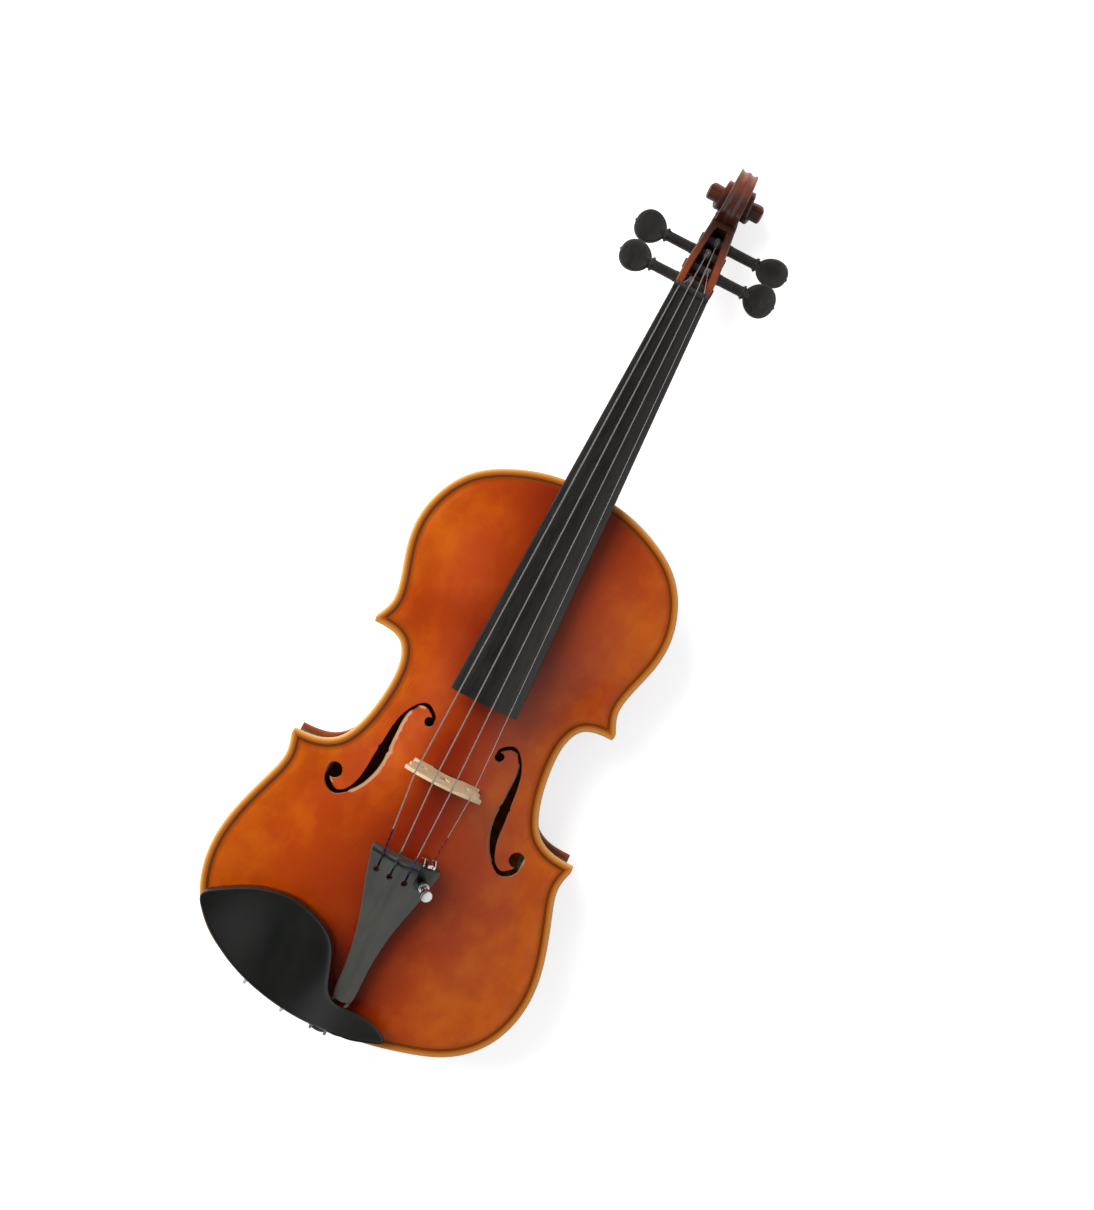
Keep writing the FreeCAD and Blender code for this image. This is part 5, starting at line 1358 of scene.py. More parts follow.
# %% A tube along a line
def tube(points, radius, sides=12):
    """A round tube with its ends closed, and for each vertex its distance along and its share around."""
    rings, along, around = [], [], []
    run, turn = 0.0, None
    for i, p in enumerate(points):
        d = (points[min(i + 1, len(points) - 1)] - points[max(i - 1, 0)]).normalized()
        if i:
            run += (p - points[i - 1]).length / MM
        turn = d.orthogonal().normalized() if turn is None else (turn - d * turn.dot(d)).normalized()
        across = d.cross(turn)
        r = (radius[i] if isinstance(radius, list) else radius) * MM
        turns = [2 * math.pi * k / sides for k in range(sides)]
        rings.append([p + (turn * math.cos(a) + across * math.sin(a)) * r for a in turns])
        along += [run] * sides
        around += [k / sides for k in range(sides)]
    return *loft(rings), along, around


def rounded(points, bend, steps=6):
    """A line of straight runs with its corners rounded."""
    out = [points[0]]
    for a, b, c in zip(points, points[1:], points[2:]):
        out += eased_corner(a, b, c, bend * MM, [k / steps for k in range(steps + 1)])
    return out + [points[-1]]


print("tube tool ready")

# %% [markdown]
# ## Places on the tailpiece
# The tailpiece hangs from the strings at a slant, so everything on it is written in its own directions: across,
# towards the bridge, and up from its ridge. The fine tuner sits on its treble slope with directions of its own.

# %% From the tailpiece and the tuner to the frame
TAIL_LONG = 94.0
TAIL_FALL = math.asin(18.9 / TAIL_LONG)
TAIL = (Matrix.Translation(at(1.0, -239.0, 80.6)) @ Matrix.Rotation(math.radians(2.3), 4, "Z")
        @ Matrix.Rotation(TAIL_FALL, 4, "X"))
TAIL_SHAPE = [(0.0, 21.2, -7.2, -10.6), (0.043, 20.9, -7.1, -10.5), (0.128, 18.9, -6.5, -10.0),
              (0.234, 16.6, -5.4, -9.2), (0.404, 12.1, -3.7, -8.2), (0.553, 9.1, -3.0, -7.7),
              (0.745, 7.0, -2.6, -7.2), (0.936, 6.5, -2.5, -7.0), (1.0, 5.8, -2.6, -6.9)]
TUNER_U, TUNER_V, TUNER_ROLL = 13.2, -8.5, 18.8


def tail_value(v, which):
    """Half width (1), height of the side (2) or of the underside (3) at a place along the tailpiece."""
    return between([(-row[0] * TAIL_LONG, row[which]) for row in TAIL_SHAPE], v)


def slope(u, v):
    """Height of the sharp ridged face, before its ridge is eased."""
    return tail_value(v, 2) * abs(u) / tail_value(v, 1)


def on_tail(u, v, w):
    return TAIL @ (Vector((u, v, w)) * MM)


TUNER = (TAIL @ Matrix.Translation(Vector((TUNER_U, TUNER_V, slope(TUNER_U, TUNER_V))) * MM)
         @ Matrix.Rotation(math.radians(TUNER_ROLL), 4, "Y"))
print("tailpiece hangs at %.1f degrees" % math.degrees(TAIL_FALL))

# %% Strings and silks
CREST_Z, CREST_R = 93.5, 42.0


def crest(x):
    """Height of the bridge's crest, which is highest 1 mm to the bass side."""
    return CREST_Z - (CREST_R - math.sqrt(CREST_R ** 2 - (x + 1.0) ** 2))


def string_line(name):
    """The route of a string: off its winding at a tangent, over nut and bridge, into the tailpiece or the fork."""
    at_nut, at_bridge, r, hole = STRINGS[name]
    side, y, z, _ = PEGS[name]
    x = WIND_AT[name]
    low_y, low_z = NUT_Y + 0.8, board_top(at_nut, NUT_Y) + NUT_ABOVE + 0.1 * r
    reach = peg_radius(side * x) + 3 * r + 0.06
    far = math.hypot(y - low_y, z - low_z)
    heading = math.atan2(z - low_z, y - low_y) + math.asin(reach / far)
    run = math.sqrt(far * far - reach * reach)
    line = [at(x, low_y + run * math.cos(heading), low_z + run * math.sin(heading)), at(at_nut, low_y, low_z),
            at(at_bridge, BRIDGE_Y, crest(at_bridge) + 0.2 * r)]
    if name == "e":
        return line + [TUNER @ (Vector((0, 13.9, 3.4)) * MM)]
    return line + [on_tail(hole, -2.6, slope(hole, -2.6) + 1.16 + r),
                   on_tail(hole, -12.7, slope(hole, -12.5) - 4.4)]


SILK_SLOTS = {"g": "silk_violet", "d": "silk_green", "a": "silk_blue", "e": "silk_red"}
SILK_LONG = {"g": 15.0, "d": 6.0, "a": 6.0, "e": 16.0}
STRING_METALS = {"g": WOUND, "d": WOUND, "a": WOUND, "e": PLAIN_STEEL}


def string(name):
    line = string_line(name)
    verts, faces, along, _ = tube(rounded(line, 1.2), STRINGS[name][2], 12)
    piece("string_%s_wound" % name, verts, faces, STRING_METALS[name], "string_metal", "string_" + name,
          values={"along": along}, sharp=60.0)
    return line


def silk_wrap(name, line):
    """A sleeve of thread over the tail end of a string, thinner where it starts."""
    r, corner = STRINGS[name][2], line[3]
    back = (line[2] - corner).normalized()
    end = corner + back * (SILK_LONG[name] + 2.2) * MM
    wrap = [end, corner + back * 0.3 * MM]
    if name != "e":
        wrap = rounded([end, corner, corner.lerp(line[4], 0.93)], 1.2)
    thick = [r + 0.05] + [r + 0.17] * len(wrap)
    verts, faces, along, around = tube([wrap[0], wrap[0].lerp(wrap[1], 0.04)] + wrap[1:], thick, 14)
    piece("silk_%s_thread" % name, verts, faces, SILKS[name], SILK_SLOTS[name], "silk_" + name,
          values={"along": along, "around": around}, sharp=60.0)


for name in STRINGS:
    silk_wrap(name, string(name))
print("strings:", len(STRINGS))

# %% [markdown]
# ## Windings
# On its peg a string lies in close turns. A coil is a rule with few numbers: turns, radius, wire and length. One
# geometry tree draws it as a spiral curve, gives it a round section and stands it on the axis of each peg.

# %% Windings on the pegs, by Geometry Nodes
WOUND_WIDE = 4.0


def coil_rule():
    """Close turns of wire: a spiral line along Z, turned onto the axis of the peg, with a round section."""
    tree, into, out = tree_of("coil_rule", ("Turns", "Radius", "Wire", "Long", "X", "Y", "Z"))
    line = add(tree, "GeometryNodeCurveSpiral", inputs={
        "Resolution": 22, "Rotations": into["Turns"], "Start Radius": into["Radius"], "End Radius": into["Radius"],
        "Height": into["Long"]})
    run = calc(tree, "DIVIDE", add(tree, "GeometryNodeSplineParameter", "Length"), MM)
    line = add(tree, "GeometryNodeStoreNamedAttribute", inputs={"Geometry": line, "Name": "along", "Value": run})
    section = add(tree, "GeometryNodeCurvePrimitiveCircle", inputs={"Resolution": 8, "Radius": into["Wire"]})
    coil = add(tree, "GeometryNodeCurveToMesh", inputs={"Curve": line, "Profile Curve": section, "Fill Caps": True})
    half = times(tree, into["Long"], -0.5)
    centred = add(tree, "GeometryNodeTransform", inputs={
        "Geometry": coil, "Translation": add(tree, "ShaderNodeCombineXYZ", inputs={2: half})})
    place = add(tree, "ShaderNodeCombineXYZ", inputs={0: into["X"], 1: into["Y"], 2: into["Z"]})
    laid = add(tree, "GeometryNodeTransform", inputs={
        "Geometry": centred, "Translation": place, "Rotation": (0.0, math.pi / 2, 0.0)})
    return finish_tree(tree, laid, into, out)


COIL = coil_rule()
for name, (side, y, z, _) in PEGS.items():
    r, x = STRINGS[name][2], WIND_AT[name]
    spot, long = at(x, y, z), WOUND_WIDE - 2 * r
    made = grown("winding_%s_turns" % name, COIL, [(0, 0, 0)], [], STRING_METALS[name],
                 Turns=long / (2.05 * r), Radius=(peg_radius(side * x) + 0.06 + r) * MM, Wire=r * MM,
                 Long=long * MM, X=spot.x, Y=spot.y, Z=spot.z)
    made.data.shade_smooth()
    ready(made, "winding_" + name, "peg_turner_" + name)
print("windings:", len(PEGS))

# %% [markdown]
# ## Bridge
# The bridge is cut from plain maple and left bare. Its back is flat and faces the tailpiece; its front swells
# from a thin crest to thick feet, which are fitted to the arch of the belly. The heart and the two kidneys make
# it light. Nothing is stamped on its face.

# %% Bridge plate with its cut-outs
HEART = [(1.1, 81.5), (2.3, 81.3), (3.2, 80.2), (2.9, 78.7), (1.8, 77.2), (0.6, 75.9)]
KIDNEY = [(-1.2, 76.4), (-0.1, 77.2), (1.4, 77.1), (2.2, 76.2), (1.8, 74.5), (0.6, 73.6), (-0.4, 73.5),
          (-0.9, 74.2), (-0.7, 75.2)]
FLANK = [(23.6, 85.3), (22.7, 83.6), (21.7, 81.6), (21.1, 79.8), (21.2, 78.2), (21.9, 76.9), (22.2, 75.4),
         (21.8, 73.5), (20.5, 71.4), (18.8, 69.2), (17.7, 66.8), (17.9, 64.4), (19.2, 62.8), (20.9, 61.9)]
FOOT_ARCH = [(9.2, 61.5), (8.7, 62.6), (7.2, 63.9), (4.8, 65.0), (2.4, 65.6), (0.0, 65.8)]


def bridge_outline():
    """Clockwise from the bass end of the crest, in x and height."""
    half = FLANK[0][0]
    top = []
    for k in range(97):
        x = -half + 2 * half * k / 96
        notches = [groove(x, at_bridge, r + 0.3, 0.8 * r) for _, at_bridge, r, _ in STRINGS.values()]
        top.append((x, crest(x) - sum(notches)))
    foot = [FLANK[-1][0] - 11.7 * i / 12.0 for i in range(13)]
    sole = [(x, belly_top(x, BRIDGE_Y) + 0.03) for x in foot]
    right = [tuple(p) for p in through(FLANK, 60)[1:]] + sole + [tuple(p) for p in through(FOOT_ARCH, 24)]
    line = top + right + [(-x, z) for x, z in right[-2::-1]]
    kept = [line[0]]
    for p in line[1:]:
        if math.hypot(p[0] - kept[-1][0], p[1] - kept[-1][1]) > 0.12:
            kept.append(p)
    return [Vector(p) for p in kept]


def bridge_thick(z):
    return between([(94.0, 1.6), (88.0, 2.2), (76.0, 3.4), (62.0, 4.5), (56.0, 4.5)], z)


def bridge():
    line = bridge_outline()
    soft, back_y = 0.4, BRIDGE_Y - 0.8
    rings = [(line, 0.0), (moved_in(line, 0.18, True), 0.18), (moved_in(line, soft, True), soft)]
    heart = [(0.0, 80.8)] + HEART + [(0.0, 74.8)] + [(-x, z) for x, z in HEART[::-1]]
    holes = [heart] + [[(side * (13.0 + x), z) for x, z in KIDNEY] for side in (1, -1)]
    verts, faces, _, _ = plate(
        rings, [through(hole, 4 * len(hole) + 4 * (hole is not heart), closed=True) for hole in holes],
        lambda x, z, d: back_y + bridge_thick(z) - 0.22 * rounding(d, soft),
        lambda x, z, d: back_y + 0.22 * rounding(d, soft), 1.1, where=lambda x, z, y: at(x, y, z))
    return piece("bridge_carved", verts, faces, BRIDGE_MAPLE, "maple_bare", "bridge", sharp=42.0)


print("bridge faces:", len(bridge().data.polygons))

# %% [markdown]
# ## Tailpiece, fret and gut
# The tailpiece has two flat slopes that meet in a ridge, and it is hollow under its wide end. Three strings pass
# over the fret and hold in keyholes by their ball ends. A loop of gut carries the narrow end round the button, and
# where it bends over the edge of the belly an ebony saddle keeps it from cutting into the spruce.

# %% Tailpiece
def keyhole(u, v):
    """A round hole that lets the ball end through, with a slot towards the fret."""
    r, half_slot, slot_end = 1.9, 0.59, -5.2
    arc = [math.radians(108 + 324 * i / 20) for i in range(21)]
    circle = [Vector((u + r * math.cos(a), v + r * math.sin(a))) for a in arc]
    return circle + [Vector((u + half_slot, slot_end)), Vector((u - half_slot, slot_end))]


def tail_outline(inset):
    """A bowed front edge, the waisted sides and a small round end."""
    front, end = 20.3, inset - TAIL_LONG
    right = [(front - inset, -inset), (front + 0.6 - inset, -0.5 - inset)]
    for i in range(1, 48):
        v = -TAIL_LONG * (i / 48.0)
        if -1.6 - inset > v > end + 2.0:
            right.append((tail_value(v, 1) - inset, v))
    for a in (math.radians(15 * i) for i in range(7)):
        right.append((3.9 + (2.0 - 0.6 * inset) * math.cos(a), end + 2.0 - 2.0 * math.sin(a)))
    bow = [(front - inset) * (i / 10.0) for i in range(10)]
    half = [(u, -inset - 0.9 * (1.0 - (u / front) ** 2)) for u in bow] + right + [(2.0, end), (0.0, end)]
    return both_sides([Vector(p) for p in half])


def tail_top(u, v, d):
    """The two slopes, with their ridge a little rounded."""
    soft = math.sqrt(u * u + 0.5) - math.sqrt(0.5)
    return tail_value(v, 2) * soft / tail_value(v, 1) - 0.45 * rounding(d, 0.8)


def tail_low(u, v, d):
    """The underside, hollow under the wide end."""
    low = tail_value(v, 3)
    if d < 2.4 or v < -22.0 or v > -3.0:
        return low + 0.4 * max(0.0, 1.0 - d / 0.8)
    return min(tail_top(u, v, d) - 3.2, max(low, low + (d - 2.4) * 3.0))


def tailpiece():
    rings = [(tail_outline(i), i) for i in (0.0, 0.25, 0.8, 1.6)]
    ridge = [Vector((0.0, -2.4 - 1.4 * i)) for i in range(64)]
    holes = [keyhole(STRINGS[name][3], -12.5) for name in "gda"]
    verts, faces, _, _ = plate(rings, holes, tail_top, tail_low, 1.9, where=on_tail, creases=[ridge])
    return piece("tailpiece_ridged", verts, faces, TAIL_EBONY, "ebony", "tailpiece", sharp=32.0)


TAIL_EBONY = dark_wood("tail_ebony", (0.078, 0.078, 0.070), (0.046, 0.047, 0.043), 0.36, coat=0.1, streak=0.25)
print("tailpiece faces:", len(tailpiece().data.polygons))

# %% Fret and gut
GUT_HALF, GUT_LOW, GUT_R = 4.6, -5.6, 0.9
BUTTON_Z = 30.5


def fret():
    """A bar across the two slopes, notched for the three strings that pass over it."""
    rings = []
    for i in range(73):
        u = -20.2 + 28.8 * i / 72
        notch = sum(groove(u, STRINGS[name][3], STRINGS[name][2] + 0.25, 0.75) for name in "gda")
        low, top = slope(u, -3.4) - 0.85, slope(u, -2.6) + 1.1 - notch
        end = 0.25 if i in (0, 72) else 0.0
        rings.append([on_tail(u, v, w) for v, w in (
            (-3.38, low), (-3.38, top - 0.5 - end), (-3.1, top - 0.12 - end), (-2.6, top - end),
            (-2.1, top - 0.12 - end),
            (-1.82, top - 0.5 - end), (-1.82, low))])
    verts, faces = loft(rings)
    piece("tailpiece_fret_rounded", verts, faces, EBONY, "ebony", "tailpiece_fret")


def gut_line():
    """Out of the tailpiece, over the saddle, down and round the button, and back on the other side."""
    clear, rest, loop = 0.95, 56.55, 5.2
    runs = []
    for x in (-GUT_HALF, GUT_HALF):
        run = [on_tail(x, 6.4 - TAIL_LONG, GUT_LOW), on_tail(x, -1.5 - TAIL_LONG, GUT_LOW),
               at(x, TAIL_Y + 4.9, rest), at(x, TAIL_Y - clear, rest), at(x, TAIL_Y - clear, 37.5)]
        runs.append(run if x < 0 else run[::-1])
    round_button = [at(x, TAIL_Y - 2 * clear, BUTTON_Z - down) for x, down in (
        (-loop, 0.0), (1.3 - loop, loop), (loop - 1.3, loop), (loop, 0.0))]
    return runs[0] + round_button + runs[1]


def nylon():
    made, tree, shader, _ = finish("nylon_gut", 0.28, coat=0.5)
    paint(tree, shader, (0.20, 0.20, 0.19))
    return made


fret()
verts, faces, _, _ = tube(rounded(gut_line(), 1.4, 8), GUT_R, 14)
piece("tail_gut_loop", verts, faces, nylon(), "nylon", "tail_gut", sharp=60.0)
print("gut %.0f mm long" % (sum((b - a).length for a, b in zip(gut_line(), gut_line()[1:])) / MM))

# %% End button and saddle
button = lathe([(0, 22), (3.3, 22), (3.8, 0), (5.9, 0), (6.2, -0.3), (6.2, -1.3), (5.9, -1.6), (4.2, -2.0),
                (3.8, -2.8), (3.8, -5.3), (4.6, -5.7), (6.6, -6.1), (7.3, -6.7), (7.6, -7.6), (7.4, -8.8),
                (6.6, -10.1), (5.0, -11.0), (2.8, -11.5), (0, -11.65)],
               at(0, TAIL_Y + 2.65, BUTTON_Z), (0, 1, 0), 36)
piece("end_button_turned", *button, PEG_WOOD, "ebony", "end_button")


def saddle():
    """A small ebony block let into the edge, rounded where the gut bends over it."""
    rings = []
    for i in range(25):
        x = -17.0 + 34.0 * i / 24
        end = 1.0 if i in (0, 24) else 0.0
        rise = (0.5 + 0.5 * math.cos(math.pi * held((abs(x) - 9.0) / 8.0))) * 3.4
        top = 52.2 + rise - 0.4 * end
        rings.append([at(x, y, z) for y, z in (
            (-352.3, 46.1), (-352.3, top - 1.6), (-351.7, top - 0.6), (-350.6, top - 0.05), (-349.2, top),
            (-347.6, top - 0.2), (-346.4, top - 0.9), (-346.05, top - 2.2), (-346.05, 46.1))])
    verts, faces = loft(rings)
    return piece("saddle_rounded", verts, faces, EBONY, "ebony", "saddle")


print("saddle faces:", len(saddle().data.polygons))

# %% [markdown]
# ## Fine tuner
# A small lever in a blackened bracket on the tailpiece tunes the top string; only the bracket's cheeks are bright.
# Its screw passes through the tailpiece and presses the long arm down; the short fork holds the string. The round
# nut and the head are knurled: a rule moves their points out and in along a wave round the axis, four points to a
# ridge, which is lighter to write and to change than cutting each groove.

# %% Shapes in the tuner's own directions
def on_tuner(a, b, c):
    """A point across the tuner, along it towards the bridge and up its screw."""
    return TUNER @ (Vector((a, b, c)) * MM)


def knurl_rule():
    """Pushes points out from an axis in ridges, as far as their attribute "ridge" says."""
    tree, into, out = tree_of("knurl_rule", ("Ridges", "Depth"))
    turn, ridge = known(tree, "turn"), known(tree, "ridge")
    wave = calc(tree, "COSINE", times(tree, times(tree, turn, into["Ridges"]), 2 * math.pi))
    push = times(tree, times(tree, wave, into["Depth"]), ridge)
    away = add(tree, "ShaderNodeCombineXYZ", inputs={key: known(tree, "out_" + "xyz"[key]) for key in range(3)})
    offset = add(tree, "ShaderNodeVectorMath", inputs={0: away, "Scale": push}, operation="SCALE")
    pushed = add(tree, "GeometryNodeSetPosition", inputs={"Geometry": into["Geometry"], "Offset": offset})
    return finish_tree(tree, pushed, into, out)


KNURL = knurl_rule()


def knurled(name, profile, ridges, depth, finish, stands_for, body):
    """A turned piece on the screw's axis; profile rows are (radius, height, ridged)."""
    steps = ridges * 4
    base, axis = on_tuner(0, 0, 0), (on_tuner(0, 0, 1) - on_tuner(0, 0, 0)).normalized()
    verts, faces = lathe([row[:2] for row in profile], base, axis, steps)
    values = {key: [] for key in ("turn", "ridge", "out_x", "out_y", "out_z")}
    rows = [row for row in profile for _ in range(1 if row[0] < 1e-6 else steps)]
    place = 0
    for v, row in zip(verts, rows):
        away = (v - base) - axis * (v - base).dot(axis)
        away = away.normalized() if row[0] > 1e-6 else Vector((0, 0, 0))
        for key, number in zip(values, ((place % steps) / steps, row[2], *away)):
            values[key].append(number)
        place = place + 1 if row[0] > 1e-6 else 0
    made = grown(name, KNURL, verts, faces, finish, values, Ridges=float(ridges), Depth=depth * MM)
    settle(made.data, 40.0)
    return ready(made, stands_for, body)


def slab(line, low, top, soft, where):
    """A plate with a rounded edge; where puts its two flat directions and its thickness in place."""
    rings = [(line, 0.0), (moved_in(line, soft * 0.3, True), soft * 0.3), (moved_in(line, soft, True), soft)]
    return plate(rings, [], lambda x, y, d: top - soft * rounding(d, soft),
                 lambda x, y, d: low + soft * rounding(d, soft), 60.0, where=where)[:2]


def corners(points, bend):
    """A flat closed outline with rounded corners."""
    pts = [Vector(p) for p in points]
    out = []
    for a, b, c in zip(pts[-1:] + pts, pts, pts[1:] + pts):
        out += eased_corner(a, b, c, bend, (0.0, 0.25, 0.5, 0.75, 1.0))
    return out


print("tuner stands at %.1f degrees to the ridge" % TUNER_ROLL)

# %% Bracket, lever, nut, screw and head
PIVOT_B, PIVOT_C = 12.0, -4.5
base, axis = on_tuner(0, 0, 0), on_tuner(0, 0, 1) - on_tuner(0, 0, 0)
front = 9.1                            # where the bed ends and the cheeks begin


def side_view(b, c, a):
    """For what is drawn from the side: along, up and then across the tuner."""
    return on_tuner(a, b, c)


bed = slab(corners([(-2.6, -5.0), (2.6, -5.0), (3.9, -2.6), (3.9, front + 0.5), (3.0, front + 0.5),
                    (2.6, front - 0.6), (-2.6, front - 0.6), (-3.0, front + 0.5), (-3.9, front + 0.5),
                    (-3.9, -2.6)], 0.9),
           0.1, 1.4, 0.25, on_tuner)
sleeve = lathe([(1.45, 1.3), (1.45, -3.0), (2.1, -3.0), (2.35, -2.7), (2.35, 4.85), (2.1, 5.1), (1.45, 5.1),
                (1.45, 1.3)], base, axis, 32)
cheek = corners([(front, 1.4), (front, -4.6), (PIVOT_B - 1.6, -6.2), (PIVOT_B + 2.0, -6.2), (PIVOT_B + 2.0, -2.4),
                 (PIVOT_B - 0.4, 1.4)], 0.9)
cheeks = [slab(cheek, low, low + 1.0, 0.25, side_view) for low in (-3.9, 2.9)]
verts, faces = gather(bed, sleeve)
piece("tuner_bracket_bent", verts, faces, BLACK_STEEL, "black_steel", "tuner_bracket")
verts, faces = gather(*cheeks)
piece("tuner_bracket_cheeks", verts, faces, CHROME, "chrome")
b = PIVOT_B
arm = slab(corners([(b - 1.1, 4.2), (b + 1.1, 4.2), (b + 1.3, -5.8), (b - 0.6, -8.4), (-2.4, -8.4), (-2.4, -7.0),
                    (b - 2.4, -7.0), (b - 1.3, -6.0)], 0.6), -1.5, 1.5, 0.3, side_view)
prong = corners([(b - 1.1, 2.4), (b + 1.1, 2.4), (b + 1.0, 5.0), (b - 1.0, 5.0)], 0.7)
prongs = [slab(prong, low, low + 2.2, 0.5, side_view) for low in (-2.7, 0.5)]
verts, faces = gather(arm, *prongs)
piece("tuner_lever_bent", verts, faces, CHROME, "chrome", "tuner_lever", body="tuner_lever_body")
across = on_tuner(1, PIVOT_B, PIVOT_C) - on_tuner(0, PIVOT_B, PIVOT_C)
verts, faces = lathe([(0, -4.2), (0.5, -4.2), (0.73, -4.0), (0.73, 4.0), (0.5, 4.2), (0, 4.2)],
                     on_tuner(0, PIVOT_B, PIVOT_C), across, 20)
piece("tuner_pin_turned", verts, faces, STEEL, "steel", "tuner_pin")
round_nut = [(1.4, 5.12, 0), (2.6, 5.12, 0), (2.9, 5.14, 0), (3.22, 5.5, 0.2), (3.22, 5.8, 1), (3.22, 7.9, 1),
             (3.22, 8.15, 0.2), (2.9, 8.5, 0), (2.5, 8.5, 0), (1.7, 8.4, 0), (1.4, 8.2, 0), (1.4, 5.12, 0)]
knurled("tuner_nut_knurled", round_nut, 32, 0.1, CHROME, "tuner_nut", BODY)
thread = [(0, -6.9), (0.75, -6.9)]
for k in range(45):
    s = -6.6 + 0.45 * k
    thread += [(1.06, s), (1.25, s + 0.22)]
thread += [(1.1, 13.4), (1.1, 13.5), (0, 13.5)]
verts, faces = lathe(thread, base, axis, 24)
piece("tuner_screw_cut", verts, faces, STEEL, "steel", "tuner_screw", body="tuner_screw_body", sharp=24.0)
screw_head = [(0, 13.52, 0), (2.6, 13.52, 0), (3.1, 13.6, 0), (3.4, 14.0, 0.2), (3.4, 14.3, 1), (3.4, 16.6, 1),
              (3.4, 16.85, 0.2), (3.1, 17.25, 0), (2.6, 17.42, 0), (1.2, 17.5, 0), (0, 17.52, 0)]
knurled("tuner_head_knurled", screw_head, 36, 0.1, CHROME, "tuner_head", "tuner_head_body")

# %% Ball ends and the nuts of the gut
ball = [(0, 0.03), (1.1, 0.03), (1.4, 0.2), (1.5, 0.5), (1.5, 2.1), (1.4, 2.45), (1.1, 2.6), (0, 2.6)]
balls = []
for name in "gda":
    line = string_line(name)
    balls.append(lathe(ball, line[4], (line[4] - line[3]).normalized(), 20))
piece("ball_ends_turned", *gather(*balls), BRASS, "brass", "ball_ends")
nuts = []
for x in (-GUT_HALF, GUT_HALF):
    a, far = on_tail(x, 6.6 - TAIL_LONG, GUT_LOW), on_tail(x, 9.8 - TAIL_LONG, GUT_LOW)
    nuts.append(lathe([(0, 0), (1.1, 0), (1.35, 0.25), (1.35, 2.95), (1.1, 3.2), (0, 3.2)], a, far - a, 6))
piece("tail_gut_nuts_cut", *gather(*nuts), BRASS, "brass", "tail_gut_nuts", sharp=20.0)
print("tuner of 7 pieces, %d ball ends, %d gut nuts" % (len(balls), len(nuts)))

# %% [markdown]
# ## Chin rest
# The chin rest is a dished black plate that stands clear of the belly on two cork pads. Its raised rim follows the
# edge of the lower bout and a tongue runs past the tail. Under the rim a clamp of bent wire, two barrels and a
# lower bar grips both edges of the body. The plate is a height field over its outline, so the dish, the rim and the
# fall towards the tongue are one formula each.

# %% Chin rest plate
CHIN = [(-94.4, 43.5), (-88.0, 49.8), (-79.3, 54.9), (-70.5, 59.3), (-61.0, 62.3), (-53.0, 63.7), (-45.0, 64.0),
        (-38.0, 63.2), (-31.5, 61.3), (-24.6, 58.5), (-18.6, 54.6), (-14.6, 50.0), (-12.0, 45.0), (-9.9, 39.5),
        (-7.8, 33.0), (-5.2, 26.5), (0.6, 20.2), (11.5, 19.0), (22.5, 18.6), (32.1, 15.8), (37.6, 11.2), (30.8, 7.2),
        (19.5, 3.6), (7.0, 2.6), (-5.5, 2.5), (-18.5, 3.5), (-32.0, 5.4), (-45.5, 8.4), (-61.5, 14.2), (-72.0, 20.2),
        (-81.0, 26.8), (-89.8, 35.4)]


def fall(x):
    """How far the plate has come down towards its tongue, from 0 on the bass side to 1."""
    return 1.0 / (1.0 + math.exp(-(x + 4.0) / 6.0))


def chin_high(x, y):
    """The upper face: a cup for the chin, falling to the tail edge and to the tongue."""
    dx, dy = (x + 47.0) / 33.0, (y - TAIL_Y - 35.0) / 27.0
    d = min(math.hypot(dx, dy), 1.25) / 1.25
    cup = 4.6 * (0.5 + 0.5 * math.cos(math.pi * d))
    tail = 1.0 / (1.0 + math.exp((y - TAIL_Y - 20.0) / 5.0))
    return 69.2 - 4.2 * tail - 6.0 * fall(x) - cup


def chin_under(x, y):
    """The lower face, clear of the belly."""
    return max(58.6 - 0.4 * fall(x), belly_top(x, y) + 3.2)


def chinrest():
    line = through([(x, TAIL_Y + up) for x, up in CHIN], 260, closed=True)
    rings = [(moved_in(line, i, True) if i else line, i) for i in (0.0, 0.25, 0.8, 1.7, 3.0)]
    verts, faces, _, _ = plate(
        rings, [], lambda x, y, d: chin_high(x, y) - 1.7 * rounding(d, 1.7) * (1.0 - 0.3 * fall(x)),
        lambda x, y, d: chin_under(x, y) + 1.2 * rounding(d, 1.2), 2.0)
    return piece("chinrest_shaped", verts, faces, CHIN_BLACK, "chinrest_black", "chinrest_plate", sharp=55.0)


print("chin rest faces:", len(chinrest().data.polygons))

# %% [markdown]
# ## Cork and clamp
# The pads are cut cork: a speckled brown made of two noises of different size. Two bent wires hang from the plate,
# and each ends as a plain post in the top of a barrel. Two threaded posts stand on the lower bar and go into the
# barrels from below, so turning a barrel by the hole in its side moves the bar. A thread is a turned profile with
# a tooth for every turn, which looks the same as a spiral at this size.

# %% Cork
def cork():
    made, tree, shader, _ = finish("cork", 0.85, shine=0.2, size=900.0, bump=0.5)
    grain = speckle(tree, object_place(tree), 900.0, 3.0, 0.7)
    spots = speckle(tree, object_place(tree), 420.0, 2.0, 0.4)
    colour = ramp(tree, grain, [(0.3, (0.30, 0.17, 0.08)), (0.6, (0.47, 0.30, 0.16))])
    paint(tree, shader, blend(tree, span(tree, spots, 0.62, 0.7), colour, (0.16, 0.08, 0.04)))
    return made


CORK = cork()


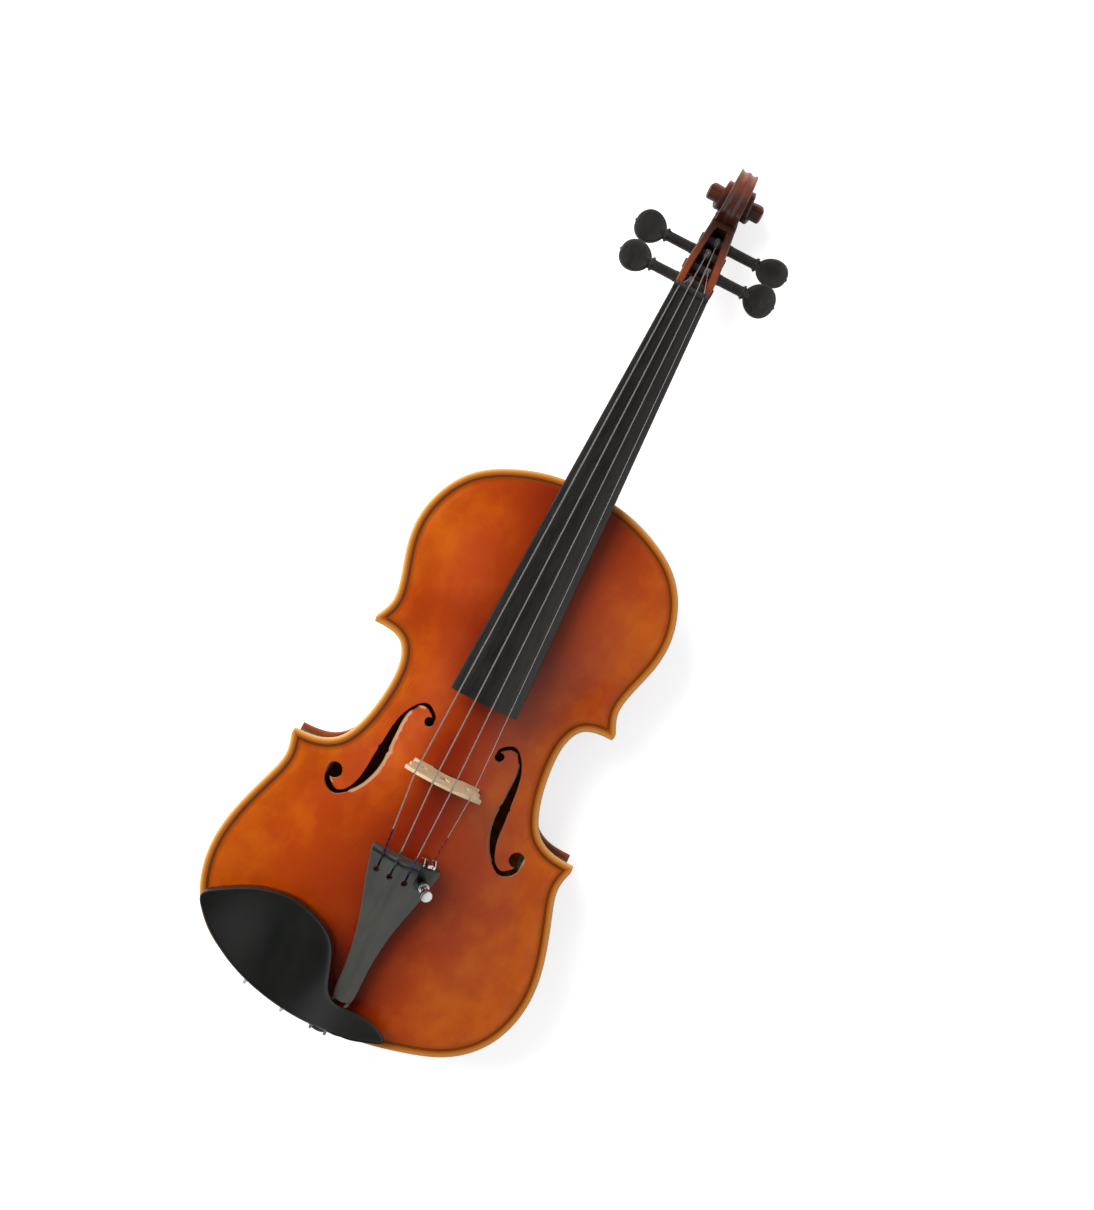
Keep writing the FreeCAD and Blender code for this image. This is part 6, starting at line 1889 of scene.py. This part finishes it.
def pads():
    parts = []
    for x0, x1, up0, up1 in ((-60, -44, 19.0, 26.0), (-34, -18, 13.0, 20.0)):
        line = corners([(x0, TAIL_Y + up0), (x1, TAIL_Y + up0), (x1, TAIL_Y + up1), (x0, TAIL_Y + up1)], 1.0)
        rings = [(line, 0.0), (moved_in(line, 0.4, True), 0.4)]
        verts, faces, _, _ = plate(rings, [], lambda x, y, d: chin_under(x, y) - 0.02 - (0.25 if d < 0.2 else 0.0),
                                   lambda x, y, d: belly_top(x, y) + 0.04 + (0.25 if d < 0.2 else 0.0), 2.0)
        parts.append((verts, faces))
    return piece("chinrest_corks_cut", *gather(*parts), CORK, "cork", "chinrest_corks", sharp=50.0)


print("cork pad faces:", len(pads().data.polygons))

# %% Clamp
def lean(x):
    """How far the lower edge runs sideways for each millimetre outwards."""
    return 0.19 if abs(x) > 35 else 0.08


def low_edge(x):
    """Where the tail edge of the body lies beside a point across it."""
    return min(outline(0.0), key=lambda p: abs(p[0] - x) + (1000.0 if p[1] > -300.0 else 0.0))[1]


def screw_thread(base, axis, r, start, end, pitch=0.7):
    """A threaded rod with a bevel at both ends."""
    rows = [(0, start), (r - 0.3, start)]
    s = start + 0.3
    while s < end - pitch:
        rows += [(r - 0.16, s), (r, s + pitch / 2)]
        s += pitch
    return lathe(rows + [(r - 0.16, end - 0.2), (r - 0.3, end), (0, end)], base, axis, 18)


def clamp():
    up = Vector((0, 0, 1))
    wires, posts, ends = [], [], []
    for x, node, body in ((-50.0, "barrel_outer", "clamp_barrel_outer"),
                          (-24.0, "barrel_inner", "clamp_barrel_inner")):
        ax, ay = x - lean(x) * 2.3, low_edge(x) - 2.68
        ends.append((ax, ay))
        bend = [at(ax, ay, 33.4), at(ax, ay, 50.6), at(ax + lean(x) * 10.0, ay + 10.0, 57.4)]
        wires.append(tube(rounded(bend, 1.6, 8), 1.1, 16)[:2])
        posts.append(screw_thread(at(ax, ay, 0), up, 1.1, 6.0, 30.4))
        barrel = lathe([(1.2, 24.0), (1.6, 24.0), (1.9, 24.3), (1.9, 30.2), (1.78, 30.4), (1.78, 33.6), (1.9, 33.8),
                        (1.9, 39.7), (1.6, 40.0), (1.2, 40.0), (1.2, 24.0)], at(ax, ay, 0), up, 28)
        made = shaped(node + "_turned", *barrel, CHROME, sharp=40.0)
        rod = lathe([(0, -5), (0.8, -5), (0.8, 5), (0, 5)], at(ax, ay, 32.0), (0, 1, 0), 16)
        key = shaped("key_hole", *rod, CHROME)
        hole = made.modifiers.new("hole", "BOOLEAN")
        hole.operation, hole.solver, hole.object = "DIFFERENCE", "EXACT", key
        bpy.context.view_layer.update()
        made.data = bpy.data.meshes.new_from_object(made.evaluated_get(bpy.context.evaluated_depsgraph_get()))
        made.modifiers.clear()
        bpy.data.objects.remove(key)
        ready(made, node, body)
    piece("clamp_wire", *gather(*wires), CHROME, "chrome", "clamp_top")
    (ax0, ay0), (ax1, ay1) = ends
    bar = [(ax0 - 2.5, ay0 - 1.7), (ax1 + 3.0, ay1 - 1.9), (ax1 + 3.0, ay1 + 11.0), (ax0, ay0 + 13.0)]
    bar = slab(corners(bar, 1.6), 4.9, 6.5, 0.45, at)
    piece("clamp_bar", *gather(bar, *posts), CHROME, "chrome", "clamp_bottom", body="clamp_foot", sharp=30.0)
    line = corners([(ax0 + 1.0, ay0 + 5.2), (ax1 + 1.0, ay1 + 4.0), (ax1 + 1.0, ay1 + 10.6),
                    (ax0 + 1.6, ay0 + 12.0)], 1.0)
    rings = [(line, 0.0), (moved_in(line, 0.4, True), 0.4)]
    verts, faces, _, _ = plate(rings, [], lambda x, y, d: TURNED - 0.06 - belly_top(x, y),
                               lambda x, y, d: 6.52 + (0.2 if d < 0.2 else 0.0), 2.0)
    piece("clamp_pad", verts, faces, CORK, "cork", "clamp_cork", body="clamp_foot")


clamp()
print("chin rest clamp: 2 barrels")
